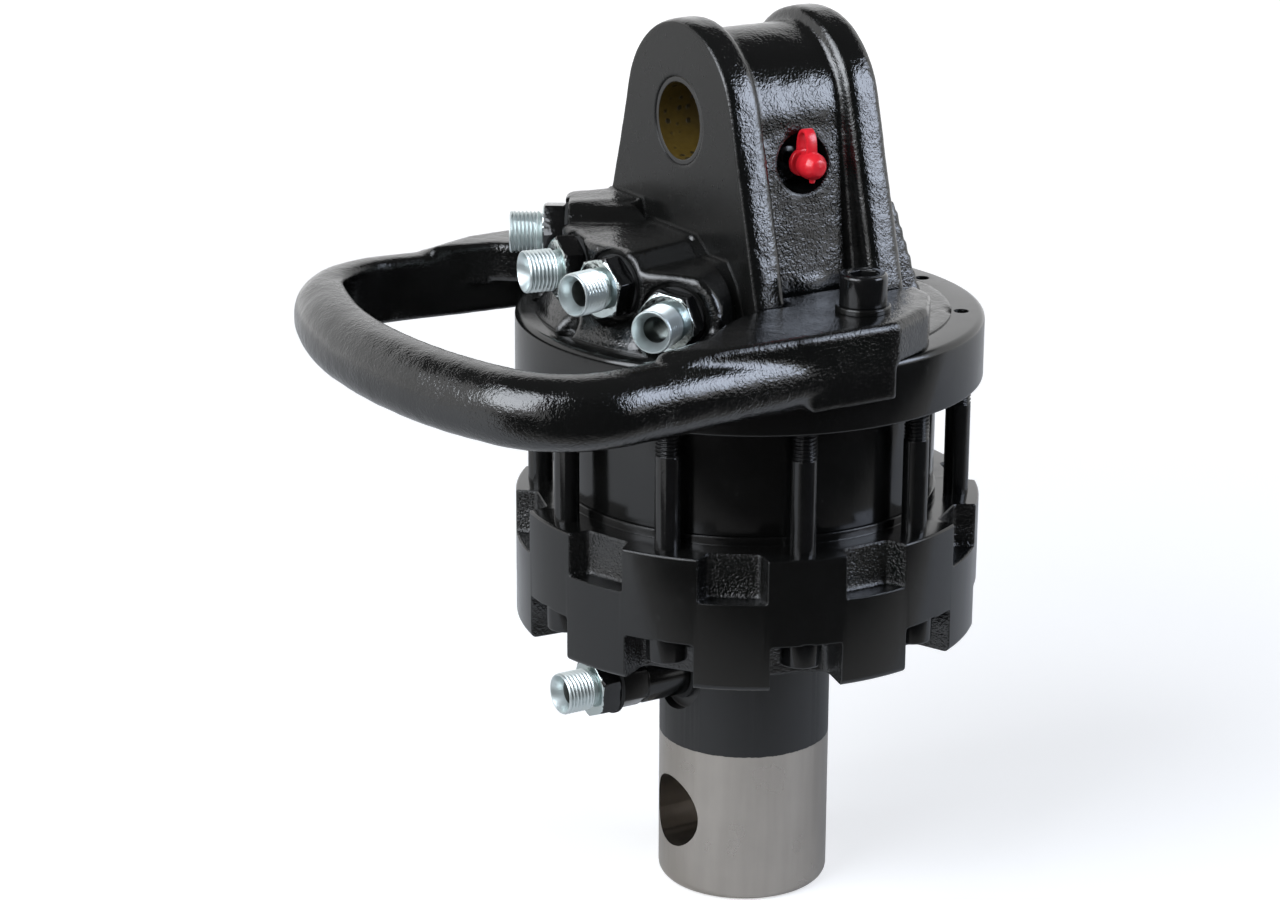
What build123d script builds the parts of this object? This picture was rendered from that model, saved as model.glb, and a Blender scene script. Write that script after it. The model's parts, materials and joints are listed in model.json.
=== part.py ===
from build123d import *
import math
import os

# Hydraulic rotator of the shaft type, hung from a crane link by its upper pin bore.
# Millimetres. The origin is the centre of the upper pin bore, the shaft runs down -Z,
# the upper pin lies along Y, and the hoses arrive from -Y.

os.makedirs("parts", exist_ok=True)

# Clearances
thread_gap = 0.05  # radial, between a thread's outside and its tapped hole
locating_gap = 0.02  # radial, between pressed or located pieces
running_gap = 0.05  # between faces that turn or slide on each other
guard_gap = 0.4  # between the guard and the head that it hugs
screw_gap = 0.5  # radial, between a screw and its plain hole
overcut = 1.0  # how far a cut runs on past the face it leaves by

# Heights, stacked downwards from the upper pin
pin_to_flange = 77.0
flange_thickness = 26.0
flange_land = 2.0
stator_height = 43.5
housing_land = 3.5
housing_height = 52.5
shaft_reach = 114.0

flange_top = -pin_to_flange
flange_bottom = flange_top - flange_thickness
stator_top = flange_bottom - flange_land
stator_bottom = stator_top - stator_height
housing_top = stator_bottom - housing_land
housing_bottom = housing_top - housing_height
shaft_end = housing_bottom - shaft_reach

# Head casting: flange, ears, barrel and plinth
flange_overhang = 0.2  # how far the flange stands out past the lower housing
flange_edge = 3.0
flange_bottom_edge = 1.0
flange_face_width = 13.5
flange_face_depth = 0.6
flange_land_lap = 3.0
ear_radius = 38.5
ear_span = 67.2
ear_thickness = 14.0
ear_foot_half = 56.5
ear_foot_drop = 61.5
ear_edge = 3.0
barrel_radius = 33.0
web_foot_half = 43.0
web_foot_drop = 56.0
plinth_radius = 44.0
plinth_height = 20.0
casting_overlap = 3.0

# Rear buttress behind the +Y ear
buttress_half = 42.0
buttress_depth = 22.7
buttress_height = 42.0
buttress_taper = 13.0

# Upper pin bore and its composite bushes
link_pin_radius = 15.0
link_bush_wall = 2.0
link_bush_length = 26.0
link_bush_recess = 0.5

# Grease point in the barrel's +X side
grease_drop = 13.0
grease_pocket_radius = 12.0
grease_pocket_floor = 20.0
grease_thread_radius = 3.0
grease_thread_length = 6.0
grease_drill_radius = 1.6
grease_hex = 9.0
grease_hex_height = 6.0
grease_neck_radius = 2.6
grease_neck_height = 17.0
nipple_tip = 0.8
cap_radius = 5.5
cap_length = 14.0
cap_dome = 4.4
cap_lift = 6.0
collar_height = 1.6
strap_width = 4.4
strap_thickness = 1.3
strap_rise = 7.2
strap_run = 9.0

# Port block: four ports on a fan, the hoses are screwed on from the front
port_azimuths = [-33.0, -9.8, 12.2, 34.4]
port_drops = [49.0, 55.5, 56.4, 64.7]
port_seat_inset = 21.5
port_facet_inset = 20.0
port_spotface_radius = 14.0
port_spotface_reach = 13.0
port_drill_radius = 4.0
motor_drill_radius = 3.0
motor_drill_reach = 58.0
left_terrace_drop = 36.5
middle_terrace_drop = 42.8
right_terrace_drop = 48.5
block_left_azimuth = -46.0
block_right_azimuth = 38.0
left_step_azimuth = -30.0
right_step_azimuth = 16.0
left_step_root = -24.0
right_step_root = 9.0
block_left_root = -46.0
block_right_root = 24.0
block_boss_radii = [15.8, 18.5]  # round shoulders to the right of ports 3 and 4
block_boss_back = 40.0
block_edge = 2.5
block_foot_inset = 8.5
block_foot_height = 8.0
block_foot_taper = 42.0
block_foot_front = 30.0

# Adapters, thread size G 3/8
port_thread_radius = 8.33
port_thread_depth = 14.0
adapter_stud_length = 11.0
adapter_hex = 22.0
adapter_hex_length = 8.8
adapter_nose_length = 13.0
adapter_bore_radius = 5.0
adapter_cone_radius = 7.5
adapter_cone_angle = 60.0
adapter_tip = 0.8
seal_thickness = 1.2
seal_radius = 11.8

# Long screws that clamp the head, the stator and the lower housing
housing_screw_count = 10
housing_screw_first = 18.0
housing_screw_inset = 9.3
housing_screw_radius = 5.0
housing_screw_head_radius = 8.0
housing_screw_head = 10.0
housing_screw_socket = 8.0
housing_screw_length = 100.0
screw_edge = 0.8
hex_turning = 30.0

# Lower housing
housing_radius = 92.3
housing_land_lap = 1.0
housing_edge = 1.0
pocket_height = 17.5
pocket_depth = 8.8
pocket_back_width = 20.0
pocket_mouth_width = 31.0
notch_height = 18.0
notch_depth = 18.3
notch_mouth_width = 29.0
notch_back_width = 26.0
notch_taper = 5.0
screw_recess_radius = 9.5
screw_recess_height = 12.0
tooth_edge = 2.5

# Stator and rotor
stator_screw_room = 4.0
stator_wall = 18.6
cam_lobe_count = 4
cam_lobe_depth = 6.0
cam_lobe_tightness = 11.4
stator_seal_inset = 9.6
stator_seal_width = 2.4
stator_seal_depth = 1.8
dowel_inset = 4.5
dowel_radius = 2.5
dowel_reach = 7.0
rotor_room = 0.4
vane_count = 8
vane_thickness = 4.9
vane_tip_height = 0.1
vane_tip_edge = 0.8
vane_depth = 14.7
vane_slot_depth = 18.0
spring_thickness = 0.6
spring_width = 3.5
spring_length = 34.0

# Output shaft
shaft_radius = 34.5
shaft_edge = 4.0
shaft_pin_radius = 15.0
shaft_pin_height = 33.0
shaft_port_height = 94.0
shaft_spotface_radius = 16.0
shaft_spotface_flat = 30.6
shaft_drill_radius = 3.5
shaft_drill_reach = 13.0
cross_drill_radius = 2.5
plug_length = 5.0
journal_radius = 27.5
journal_top_drop = 37.0
journal_edge = 1.5
journal_room = 1.0
oil_groove_width = 6.0
oil_groove_depth = 2.0

# Swivel seals and journal bushes
swivel_seal_width = 3.0
swivel_seal_depth = 4.0
upper_bush_wall = 3.5
upper_bush_length = 22.0
lower_bush_wall = 4.0
lower_bush_length = 18.0
shaft_clearance = 0.4

# Roller thrust bearing under the rotor
thrust_room = 2.0
thrust_ring_width = 11.0
thrust_washer = 3.0
roller_count = 14
roller_radius = 2.0
roller_length = 7.0
cage_thickness = 2.6
cage_edge = 0.3
cage_gap = 0.15

# Shaft seal, circlip and wiper at the bottom of the lower housing
shaft_seal_radius = 44.0
shaft_seal_height = 8.0
circlip_groove = 2.0
circlip_gap = 0.1
circlip_bite = 2.0
circlip_width = 6.0
circlip_opening = 14.0
wiper_height = 5.0

# Port extensions on the shaft
extension_radius = 10.2
extension_length = 31.5
extension_hex = 19.0
extension_hex_length = 12.5
extension_bore_radius = 4.0

# Hose guard
guard_top_drop = 64.0
guard_bar_height = 26.5
guard_bar_width = 20.0
guard_nose_reach = 73.0
guard_front_radius = 200.0
guard_corner_radius = 38.0
guard_corner_inset = 34.0
guard_side_lean = 5.0
guard_start = 22.0
guard_top_rounding = 13.0
guard_bottom_rounding = 10.0
guard_inner_rounding = 3.0
lug_thickness = 16.0
lug_overhang = 6.5
lug_front = 36.0
lug_back = 2.0
lug_back_corners = [(10.5, 22.5), (29.0, 37.0)]
lug_back_reach = 38.0
lug_front_corners = [(37.0, -48.0), (19.0, -72.0), (13.0, -95.0)]
lug_skirt_height = 29.5
lug_tongue_gap = 3.0
lug_edge = 1.5
guard_screw_inset = 14.5
guard_screw_radius = 6.0
guard_screw_head_radius = 9.0
guard_screw_head = 12.0
guard_screw_socket = 10.0
guard_screw_bite = 18.0
guard_hole_depth = 21.0
guard_washer_radius = 10.5
guard_washer_thickness = 2.5

# Places worked out from the sizes above, outwards from the shaft or inwards from the housing
flange_radius = housing_radius + flange_overhang
flange_face_radius = flange_radius - flange_face_width
block_foot_radius = flange_radius - block_foot_inset
port_seat_radius = flange_radius - port_seat_inset
port_facet_radius = flange_radius - port_facet_inset
housing_screw_circle = housing_radius - housing_screw_inset
pocket_back_radius = housing_radius - pocket_depth
notch_back_radius = housing_radius - notch_depth
stator_radius = housing_screw_circle - housing_screw_radius - stator_screw_room
flange_land_radius = stator_radius + flange_land_lap
housing_land_radius = stator_radius + housing_land_lap
dowel_circle = stator_radius - dowel_inset
stator_seal_radius = stator_radius - stator_seal_inset
cam_minor_radius = stator_radius - stator_wall
cam_lobe_radius = cam_minor_radius - cam_lobe_tightness
cam_lobe_centre = cam_minor_radius + cam_lobe_depth - cam_lobe_radius
rotor_radius = cam_minor_radius - rotor_room
vane_tip_radius = rotor_radius + vane_tip_height
thrust_inner_radius = shaft_radius + thrust_room
thrust_outer_radius = thrust_inner_radius + thrust_ring_width
guard_nose = flange_radius + guard_nose_reach
guard_corner_reach = flange_radius - guard_corner_inset
guard_screw_reach = flange_radius - guard_screw_inset
lug_half = flange_radius + lug_overhang
lug_tongue_reach = web_foot_half + lug_tongue_gap
ear_outer = ear_span / 2
ear_inner = ear_outer - ear_thickness
casting_root = flange_top - casting_overlap
casting_bore_radius = link_pin_radius + link_bush_wall
rotor_top = stator_top - running_gap
rotor_bottom = stator_bottom + running_gap
rotor_height = rotor_top - rotor_bottom
journal_top = -journal_top_drop
journal_bore_radius = journal_radius + running_gap
port_heights = [-drop for drop in port_drops]
groove_heights = [port_heights[0], port_heights[-1]]
groove_step = (groove_heights[0] - groove_heights[1]) / 2
swivel_heights = [groove_heights[0] + groove_step, groove_heights[0] - groove_step, groove_heights[1] - groove_step]
vane_slot_floor = rotor_radius - vane_slot_depth
shaft_port_z = shaft_end + shaft_port_height
thrust_roller_top = rotor_bottom - thrust_washer - running_gap
thrust_roller_mid = thrust_roller_top - roller_radius
thrust_low_top = thrust_roller_top - 2 * roller_radius - running_gap
thrust_floor = thrust_low_top - thrust_washer - locating_gap
roller_circle = (thrust_inner_radius + thrust_outer_radius) / 2
running_radius = shaft_radius + running_gap
lower_bush_bore = running_radius + lower_bush_wall
seal_low = housing_bottom + wiper_height + circlip_groove
screw_seat = housing_bottom + notch_height
lug_top = flange_top + lug_thickness
guard_bar_top = -guard_top_drop
seal_bore_radius = port_thread_radius + thread_gap


def on_circle(radius, azimuth):
    """Point in plan at an azimuth counted from -Y towards +X."""
    a = math.radians(azimuth)
    return (radius * math.sin(a), -radius * math.cos(a))


def port_plane(azimuth, height, radius):
    """Plane across a port: its origin is on the port's axis, its normal points away from the shaft."""
    x, y = on_circle(radius, azimuth)
    across = on_circle(1, azimuth + 90)
    away = on_circle(1, azimuth)
    return Plane(origin=(x, y, height), x_dir=(across[0], across[1], 0), z_dir=(away[0], away[1], 0))


def on_facet(azimuth, port_azimuth):
    """Point in plan on the facet in front of a port, at another azimuth."""
    return on_circle(port_facet_radius / math.cos(math.radians(azimuth - port_azimuth)), azimuth)


def facet_corners():
    """Points in plan where neighbouring facets of the port block meet."""
    pairs = zip(port_azimuths, port_azimuths[1:])
    return [on_facet((first + second) / 2, first) for first, second in pairs]


def annulus(outer, inner):
    """Flat ring, drawn in the sketch that is open."""
    Circle(outer)
    Circle(inner, mode=Mode.SUBTRACT)


def socket_screw(radius, length, head_radius, head, socket):
    """Cap screw with its head's seat at z = 0 and its shank along +Z."""
    with BuildPart() as screw:
        with BuildSketch():
            Circle(head_radius)
        extrude(amount=-head)
        chamfer(screw.edges().group_by(Axis.Z)[0], length=screw_edge)
        with BuildSketch(Plane.XY.offset(-head)):
            RegularPolygon(socket / 2, 6, major_radius=False)
        extrude(amount=head / 2, mode=Mode.SUBTRACT)
        with BuildSketch():
            Circle(radius)
        extrude(amount=length)
        chamfer(screw.edges().group_by(Axis.Z)[-1], length=screw_edge)
    return screw.part


def hexagon(across_flats, low, length):
    """Hexagon bar along +Z with both ends' corners turned off."""
    corner = across_flats / math.sqrt(3)
    turned = (corner - across_flats / 2) * math.tan(math.radians(hex_turning))
    with BuildPart() as bar:
        with BuildSketch(Plane.XY.offset(low)):
            RegularPolygon(across_flats / 2, 6, major_radius=False)
        extrude(amount=length)
        with BuildSketch(Plane.XZ):
            Polygon(
                (0, low),
                (across_flats / 2, low),
                (corner, low + turned),
                (corner, low + length - turned),
                (across_flats / 2, low + length),
                (0, low + length),
                align=None,
            )
        revolve(axis=Axis.Z, mode=Mode.INTERSECT)
    return bar.part


# Flange, with its machined outer face a little lower than the cast middle
with BuildPart() as flange:
    with BuildSketch(Plane.XY.offset(flange_bottom)):
        Circle(flange_radius)
    extrude(amount=flange_thickness)
    fillet(flange.edges().group_by(Axis.Z)[-1], radius=flange_edge)
    chamfer(flange.edges().group_by(Axis.Z)[0], length=flange_bottom_edge)
    with BuildSketch(Plane.XY.offset(flange_top)):
        annulus(flange_radius, flange_face_radius)
    extrude(amount=-flange_face_depth, mode=Mode.SUBTRACT)
    with BuildSketch(Plane.XY.offset(flange_bottom)):
        Circle(flange_land_radius)
    extrude(amount=-flange_land)

# Port block: three terraces, a facet in front of each port, and a sloping foot on the flange
corners = facet_corners()
block_left = on_facet(block_left_azimuth, port_azimuths[0])
block_right = on_facet(block_right_azimuth, port_azimuths[-1])
left_step = on_facet(left_step_azimuth, port_azimuths[0])
right_step = on_facet(right_step_azimuth, port_azimuths[2])
root_y = -ear_inner
with BuildPart() as port_block:
    with BuildSketch(Plane.XY.offset(casting_root)):
        Polygon((block_left_root, root_y), block_left, *corners, block_right, (block_right_root, root_y), align=None)
    extrude(amount=-right_terrace_drop - casting_root)
    with BuildSketch(Plane.XY.offset(casting_root)):
        Polygon(
            (block_left_root, root_y),
            block_left,
            corners[0],
            corners[1],
            right_step,
            (right_step_root, root_y),
            align=None,
        )
    extrude(amount=-middle_terrace_drop - casting_root)
    with BuildSketch(Plane.XY.offset(casting_root)):
        Polygon((block_left_root, root_y), block_left, left_step, (left_step_root, root_y), align=None)
    extrude(amount=-left_terrace_drop - casting_root)
    outer_uprights = port_block.edges().filter_by(Axis.Z).filter_by(lambda e: e.center().Y < root_y - overcut)
    fillet(outer_uprights, radius=block_edge)
    facet_turn = math.tan(math.radians(port_azimuths[-1] - port_azimuths[-2]) / 2)
    boss_widths = [(port_facet_radius - block_edge) * facet_turn, block_boss_radii[-1]]
    boss_tops = [-middle_terrace_drop, -right_terrace_drop]
    shoulders = zip(port_azimuths[-2:], port_heights[-2:], block_boss_radii, boss_widths, boss_tops)
    for azimuth, height, boss_radius, boss_width, boss_top in shoulders:
        with BuildSketch(port_plane(azimuth, height, port_facet_radius)):
            Circle(boss_radius)
            with Locations((0, -boss_radius)):
                Rectangle(
                    boss_width,
                    boss_top - height + boss_radius,
                    align=(Align.MIN, Align.MIN),
                    mode=Mode.INTERSECT,
                )
        extrude(amount=block_boss_back - port_facet_radius)

with BuildPart() as block_foot:
    with BuildSketch(Plane.XY.offset(casting_root)):
        Circle(block_foot_radius)
    extrude(amount=casting_overlap)
    with BuildSketch(Plane.XY.offset(flange_top)):
        Circle(block_foot_radius)
    extrude(amount=block_foot_height, taper=block_foot_taper)
    with BuildSketch(Plane.XY.offset(casting_root)):
        with Locations((0, -block_foot_front - block_foot_radius)):
            Rectangle(2 * ear_foot_half, 2 * block_foot_radius)
    extrude(amount=casting_overlap + block_foot_height, mode=Mode.INTERSECT)

# Head casting
with BuildPart() as head_casting:
    # Both ears, with their rims rounded before anything joins them
    foot_z = -ear_foot_drop
    foot_distance = math.hypot(ear_foot_half, foot_z)
    flare = math.atan2(foot_z, ear_foot_half) + math.acos(ear_radius / foot_distance)
    side_top = (ear_radius * math.cos(flare), ear_radius * math.sin(flare))
    for ear_face in (ear_inner, -ear_outer):
        with BuildSketch(Plane.XZ.offset(ear_face)):
            with BuildLine():
                Line((-ear_foot_half, casting_root), (ear_foot_half, casting_root))
                Line((ear_foot_half, casting_root), (ear_foot_half, foot_z))
                Line((ear_foot_half, foot_z), side_top)
                ThreePointArc(side_top, (0, ear_radius), (-side_top[0], side_top[1]))
                Line((-side_top[0], side_top[1]), (-ear_foot_half, foot_z))
                Line((-ear_foot_half, foot_z), (-ear_foot_half, casting_root))
            make_face()
        extrude(amount=ear_thickness)
    rims = head_casting.faces().filter_by(Axis.Y).edges().filter_by(lambda e: e.center().Z > casting_root + overcut)
    fillet(rims, radius=ear_edge)

    # Barrel round the pin bore, running down into a flared web and a round plinth
    with BuildSketch(Plane.XZ):
        Circle(barrel_radius)
        Polygon(
            (-barrel_radius, 0),
            (-web_foot_half, -web_foot_drop),
            (-web_foot_half, casting_root),
            (web_foot_half, casting_root),
            (web_foot_half, -web_foot_drop),
            (barrel_radius, 0),
            align=None,
        )
    extrude(amount=ear_inner + casting_overlap, both=True)
    with BuildSketch(Plane.XY.offset(casting_root)):
        Circle(plinth_radius)
    extrude(amount=casting_overlap + plinth_height)

    # Buttress behind the rear ear
    with BuildSketch(Plane.XY.offset(casting_root)):
        with Locations((0, (ear_outer + buttress_depth) / 2)):
            Rectangle(2 * buttress_half, ear_outer + buttress_depth)
    extrude(amount=casting_overlap + buttress_height, taper=buttress_taper)

    add(flange.part)
    add(block_foot.part)
    add(port_block.part)

    # Upper pin bore
    with BuildSketch(Plane.XZ):
        Circle(casting_bore_radius)
    extrude(amount=ear_outer + casting_overlap, both=True, mode=Mode.SUBTRACT)

    # Grease pocket, nipple thread and drilling
    with BuildSketch(Plane.YZ.offset(grease_pocket_floor)):
        with Locations((0, -grease_drop)):
            Circle(grease_pocket_radius)
    extrude(amount=web_foot_half, mode=Mode.SUBTRACT)
    with BuildSketch(Plane.YZ.offset(grease_pocket_floor)):
        with Locations((0, -grease_drop)):
            Circle(grease_thread_radius + thread_gap)
    extrude(amount=-grease_thread_length - overcut, mode=Mode.SUBTRACT)
    with BuildSketch(Plane.YZ.offset(grease_pocket_floor)):
        with Locations((0, -grease_drop)):
            Circle(grease_drill_radius)
    extrude(amount=-grease_pocket_floor, mode=Mode.SUBTRACT)

    # Journal bore, bush seat and seal grooves
    with BuildSketch(Plane.XY.offset(stator_top)):
        Circle(journal_bore_radius)
    extrude(amount=journal_top + journal_room - stator_top, mode=Mode.SUBTRACT)
    with BuildSketch(Plane.XY.offset(stator_top)):
        Circle(journal_bore_radius + upper_bush_wall)
    extrude(amount=upper_bush_length + running_gap, mode=Mode.SUBTRACT)
    for height in swivel_heights:
        with BuildSketch(Plane.XY.offset(height - swivel_seal_width / 2)):
            Circle(journal_bore_radius + swivel_seal_depth)
        extrude(amount=swivel_seal_width, mode=Mode.SUBTRACT)

    # Ports: spotface, thread, and a drilling to the swivel or to the motor
    for azimuth, height in zip(port_azimuths, port_heights):
        seat = port_plane(azimuth, height, port_seat_radius)
        feeds_swivel = height in groove_heights
        drill_end = journal_radius if feeds_swivel else motor_drill_reach
        with BuildSketch(seat):
            Circle(port_spotface_radius)
        extrude(amount=port_spotface_reach, mode=Mode.SUBTRACT)
        with BuildSketch(seat):
            Circle(port_thread_radius + thread_gap)
        extrude(amount=-port_thread_depth, mode=Mode.SUBTRACT)
        with BuildSketch(seat):
            Circle(port_drill_radius)
        extrude(amount=drill_end - port_seat_radius, mode=Mode.SUBTRACT)
        if not feeds_swivel:
            with BuildSketch(Plane.XY.offset(stator_top)):
                with Locations(on_circle(motor_drill_reach, azimuth)):
                    Circle(motor_drill_radius)
            extrude(amount=height - stator_top, mode=Mode.SUBTRACT)

    # Tapped holes for the long screws and the guard, and dowel holes
    with BuildSketch(Plane.XY.offset(stator_top)):
        with PolarLocations(housing_screw_circle, housing_screw_count, start_angle=housing_screw_first):
            Circle(housing_screw_radius + thread_gap)
    extrude(amount=flange_land + flange_thickness + block_foot_height, mode=Mode.SUBTRACT)
    with BuildSketch(Plane.XY.offset(flange_top)):
        with Locations((guard_screw_reach, 0), (-guard_screw_reach, 0)):
            Circle(guard_screw_radius + thread_gap)
    extrude(amount=-guard_hole_depth, mode=Mode.SUBTRACT)
    with BuildSketch(Plane.XY.offset(stator_top)):
        with Locations((0, dowel_circle), (0, -dowel_circle)):
            Circle(dowel_radius + locating_gap)
    extrude(amount=dowel_reach + running_gap, mode=Mode.SUBTRACT)
head_casting.part.label = "head_casting"
export_step(head_casting.part, "parts/head_casting.step")

# Composite bushes of the upper pin bore, one from each side
for side, place in ((-1, "front"), (1, "rear")):
    bush_face = side * (ear_outer - link_bush_recess)
    with BuildPart() as link_bush:
        with BuildSketch(Plane.XZ.offset(-bush_face)):
            annulus(casting_bore_radius - locating_gap, link_pin_radius)
        extrude(amount=side * link_bush_length)
    link_bush.part.label = f"link_bush_{place}"
    export_step(link_bush.part, f"parts/link_bush_{place}.step")

# Grease nipple, screwed into the pocket's floor along +X
nipple_seat = Plane(origin=(grease_pocket_floor, 0, -grease_drop), x_dir=(0, 1, 0), z_dir=(1, 0, 0))
nipple_hexagon = hexagon(grease_hex, 0, grease_hex_height)
with BuildPart() as grease_nipple:
    with Locations(nipple_seat.location):
        add(nipple_hexagon)
    with BuildSketch(nipple_seat):
        Circle(grease_thread_radius)
    extrude(amount=-grease_thread_length)
    with BuildSketch(nipple_seat.offset(grease_hex_height)):
        Circle(grease_neck_radius)
    extrude(amount=grease_neck_height)
    chamfer(grease_nipple.edges().group_by(Axis.X)[-1], length=nipple_tip)
grease_nipple.part.label = "grease_nipple"
export_step(grease_nipple.part, "parts/grease_nipple.step")

# Grease cap: a domed cap on the nipple, a collar round its neck, and the strap between them
cap_open = grease_hex_height + running_gap + collar_height + cap_lift
with BuildPart() as grease_cap:
    with BuildSketch(nipple_seat.offset(cap_open)):
        Circle(cap_radius)
    extrude(amount=cap_length)
    fillet(grease_cap.edges().group_by(Axis.X)[-1], radius=cap_dome)
    with BuildSketch(nipple_seat.offset(grease_hex_height + running_gap)):
        Circle(cap_radius)
    extrude(amount=collar_height)
    with BuildSketch(Plane.XZ.offset(-strap_width / 2)):
        with BuildLine():
            strap_low = grease_pocket_floor + grease_hex_height + running_gap
            strap_far = grease_pocket_floor + cap_open + strap_run
            root_z = -grease_drop + cap_radius - strap_thickness
            crest = ((strap_low + strap_far) / 2, root_z + strap_rise)
            inner_low = (strap_low + strap_thickness, root_z)
            inner_far = (strap_far - strap_thickness, root_z)
            ThreePointArc((strap_low, root_z), crest, (strap_far, root_z))
            Line((strap_far, root_z), inner_far)
            ThreePointArc(inner_far, (crest[0], crest[1] - strap_thickness), inner_low)
            Line(inner_low, (strap_low, root_z))
        make_face()
    extrude(amount=strap_width)
    with BuildSketch(nipple_seat.offset(grease_hex_height)):
        Circle(grease_neck_radius + running_gap)
    extrude(amount=grease_neck_height + running_gap, mode=Mode.SUBTRACT)
grease_cap.part.label = "grease_cap"
export_step(grease_cap.part, "parts/grease_cap.step")

# Adapter in its own frame: z = 0 is the face that its seal rests on, +Z points at the hose
hex_low = seal_thickness
hex_high = hex_low + adapter_hex_length
adapter_tip_z = hex_high + adapter_nose_length
adapter_hexagon = hexagon(adapter_hex, hex_low, adapter_hex_length)
with BuildPart() as adapter_blank:
    add(adapter_hexagon)
    with BuildSketch(Plane.XY.offset(hex_low)):
        Circle(port_thread_radius)
    extrude(amount=-hex_low - adapter_stud_length)
    chamfer(adapter_blank.edges().group_by(Axis.Z)[0], length=adapter_tip)
    with BuildSketch(Plane.XY.offset(hex_high)):
        Circle(port_thread_radius)
    extrude(amount=adapter_nose_length)
    chamfer(adapter_blank.edges().group_by(Axis.Z)[-1], length=adapter_tip / 2)
    with Locations((0, 0, adapter_tip_z)):
        CounterSinkHole(adapter_bore_radius, adapter_cone_radius, counter_sink_angle=adapter_cone_angle)

with BuildPart() as seal_blank:
    with BuildSketch():
        annulus(seal_radius, seal_bore_radius)
    extrude(amount=seal_thickness)

# Top adapters and the bonded seals under them
with BuildPart() as port_seals:
    for azimuth, height in zip(port_azimuths, port_heights):
        with Locations(port_plane(azimuth, height, port_seat_radius).location):
            add(seal_blank.part)
port_seals.part.label = "port_seals"
export_step(port_seals.part, "parts/port_seals.step")
for number, (azimuth, height) in enumerate(zip(port_azimuths, port_heights), start=1):
    with BuildPart() as port_adapter:
        with Locations(port_plane(azimuth, height, port_seat_radius).location):
            add(adapter_blank.part)
    port_adapter.part.label = f"port_adapter_{number}"
    export_step(port_adapter.part, f"parts/port_adapter_{number}.step")

# Hose guard: a bar bent round the front, with a lug over the flange on each side
front_centre = (0, guard_front_radius - guard_nose)
corner_rise = math.sqrt((guard_front_radius - guard_corner_radius) ** 2 - guard_corner_reach**2)
corner_centre = (guard_corner_reach, front_centre[1] - corner_rise)
lean = math.radians(guard_side_lean)
side_end = (
    corner_centre[0] + guard_corner_radius * math.cos(lean),
    corner_centre[1] + guard_corner_radius * math.sin(lean),
)
side_run = (-guard_start - side_end[1]) / math.cos(lean)
side_start = (side_end[0] - side_run * math.sin(lean), -guard_start)
front_ratio = guard_front_radius / (guard_front_radius - guard_corner_radius)
front_end = (guard_corner_reach * front_ratio, front_centre[1] - corner_rise * front_ratio)
corner_mid_angle = (lean + math.atan2(-corner_rise, guard_corner_reach)) / 2
corner_mid = (
    corner_centre[0] + guard_corner_radius * math.cos(corner_mid_angle),
    corner_centre[1] + guard_corner_radius * math.sin(corner_mid_angle),
)
bar_mid_z = guard_bar_top - guard_bar_height / 2


def mirrored(point):
    """The same point on the other side of the rotator's middle plane."""
    return (-point[0], point[1])


def from_lug_side(corners):
    """Points in plan whose x is counted inwards from the lug's outer side."""
    return [(lug_half - inset, y) for inset, y in corners]


# Lug of the guard: a plate over the flange, a tongue between the ears and a skirt outside the rim
ear_side = ear_foot_half + guard_gap
tongue_half = ear_inner - guard_gap
with BuildPart() as guard_lug:
    with BuildSketch(Plane.XY.offset(flange_top)):
        Polygon(
            (lug_half, -lug_front),
            (lug_half, lug_back),
            *from_lug_side(lug_back_corners),
            (ear_side, lug_back_reach),
            (ear_side, tongue_half),
            (lug_tongue_reach, tongue_half),
            (lug_tongue_reach, -tongue_half),
            (ear_side, -tongue_half),
            (ear_side, -ear_outer),
            *from_lug_side(lug_front_corners),
            (side_end[0], lug_front_corners[-1][1]),
            align=None,
        )
    extrude(amount=lug_thickness)
    with BuildSketch(Plane.XY.offset(lug_top)):
        Polygon(
            (guard_screw_reach, lug_back),
            (guard_screw_reach, -lug_front),
            (lug_half, -lug_front),
            (lug_half, lug_back),
            align=None,
        )
    extrude(amount=-lug_skirt_height)
    chamfer(guard_lug.edges().group_by(Axis.Z)[-1], length=lug_edge)

with BuildPart() as hose_guard:
    with BuildLine(Plane.XY.offset(bar_mid_z)):
        Line(side_start, side_end)
        ThreePointArc(side_end, corner_mid, front_end)
        ThreePointArc(front_end, (0, -guard_nose), mirrored(front_end))
        ThreePointArc(mirrored(front_end), mirrored(corner_mid), mirrored(side_end))
        Line(mirrored(side_end), mirrored(side_start))
    bar_plane = Plane(
        origin=(side_start[0], side_start[1], bar_mid_z),
        x_dir=(math.cos(lean), math.sin(lean), 0),
        z_dir=(math.sin(lean), -math.cos(lean), 0),
    )
    with BuildSketch(bar_plane) as bar_section:
        Rectangle(guard_bar_width, guard_bar_height)
        top_corner = bar_section.vertices().group_by(Axis.X)[-1].sort_by(Axis.Y)[-1]
        fillet(top_corner, radius=guard_top_rounding)
        bottom_corner = bar_section.vertices().group_by(Axis.X)[-1].sort_by(Axis.Y)[0]
        fillet(bottom_corner, radius=guard_bottom_rounding)
        fillet(bar_section.vertices().group_by(Axis.X)[0], radius=guard_inner_rounding)
    sweep()
    add(guard_lug.part)
    mirror(guard_lug.part, about=Plane.YZ)
    with BuildSketch(Plane.XY.offset(flange_top)):
        Circle(flange_radius + guard_gap)
    extrude(amount=-guard_bar_height, mode=Mode.SUBTRACT)
    with BuildSketch(Plane.XY.offset(lug_top)):
        with Locations((guard_screw_reach, 0), (-guard_screw_reach, 0)):
            Circle(guard_screw_radius + screw_gap)
    extrude(amount=-lug_thickness, mode=Mode.SUBTRACT)
hose_guard.part.label = "hose_guard"
export_step(hose_guard.part, "parts/hose_guard.step")

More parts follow.
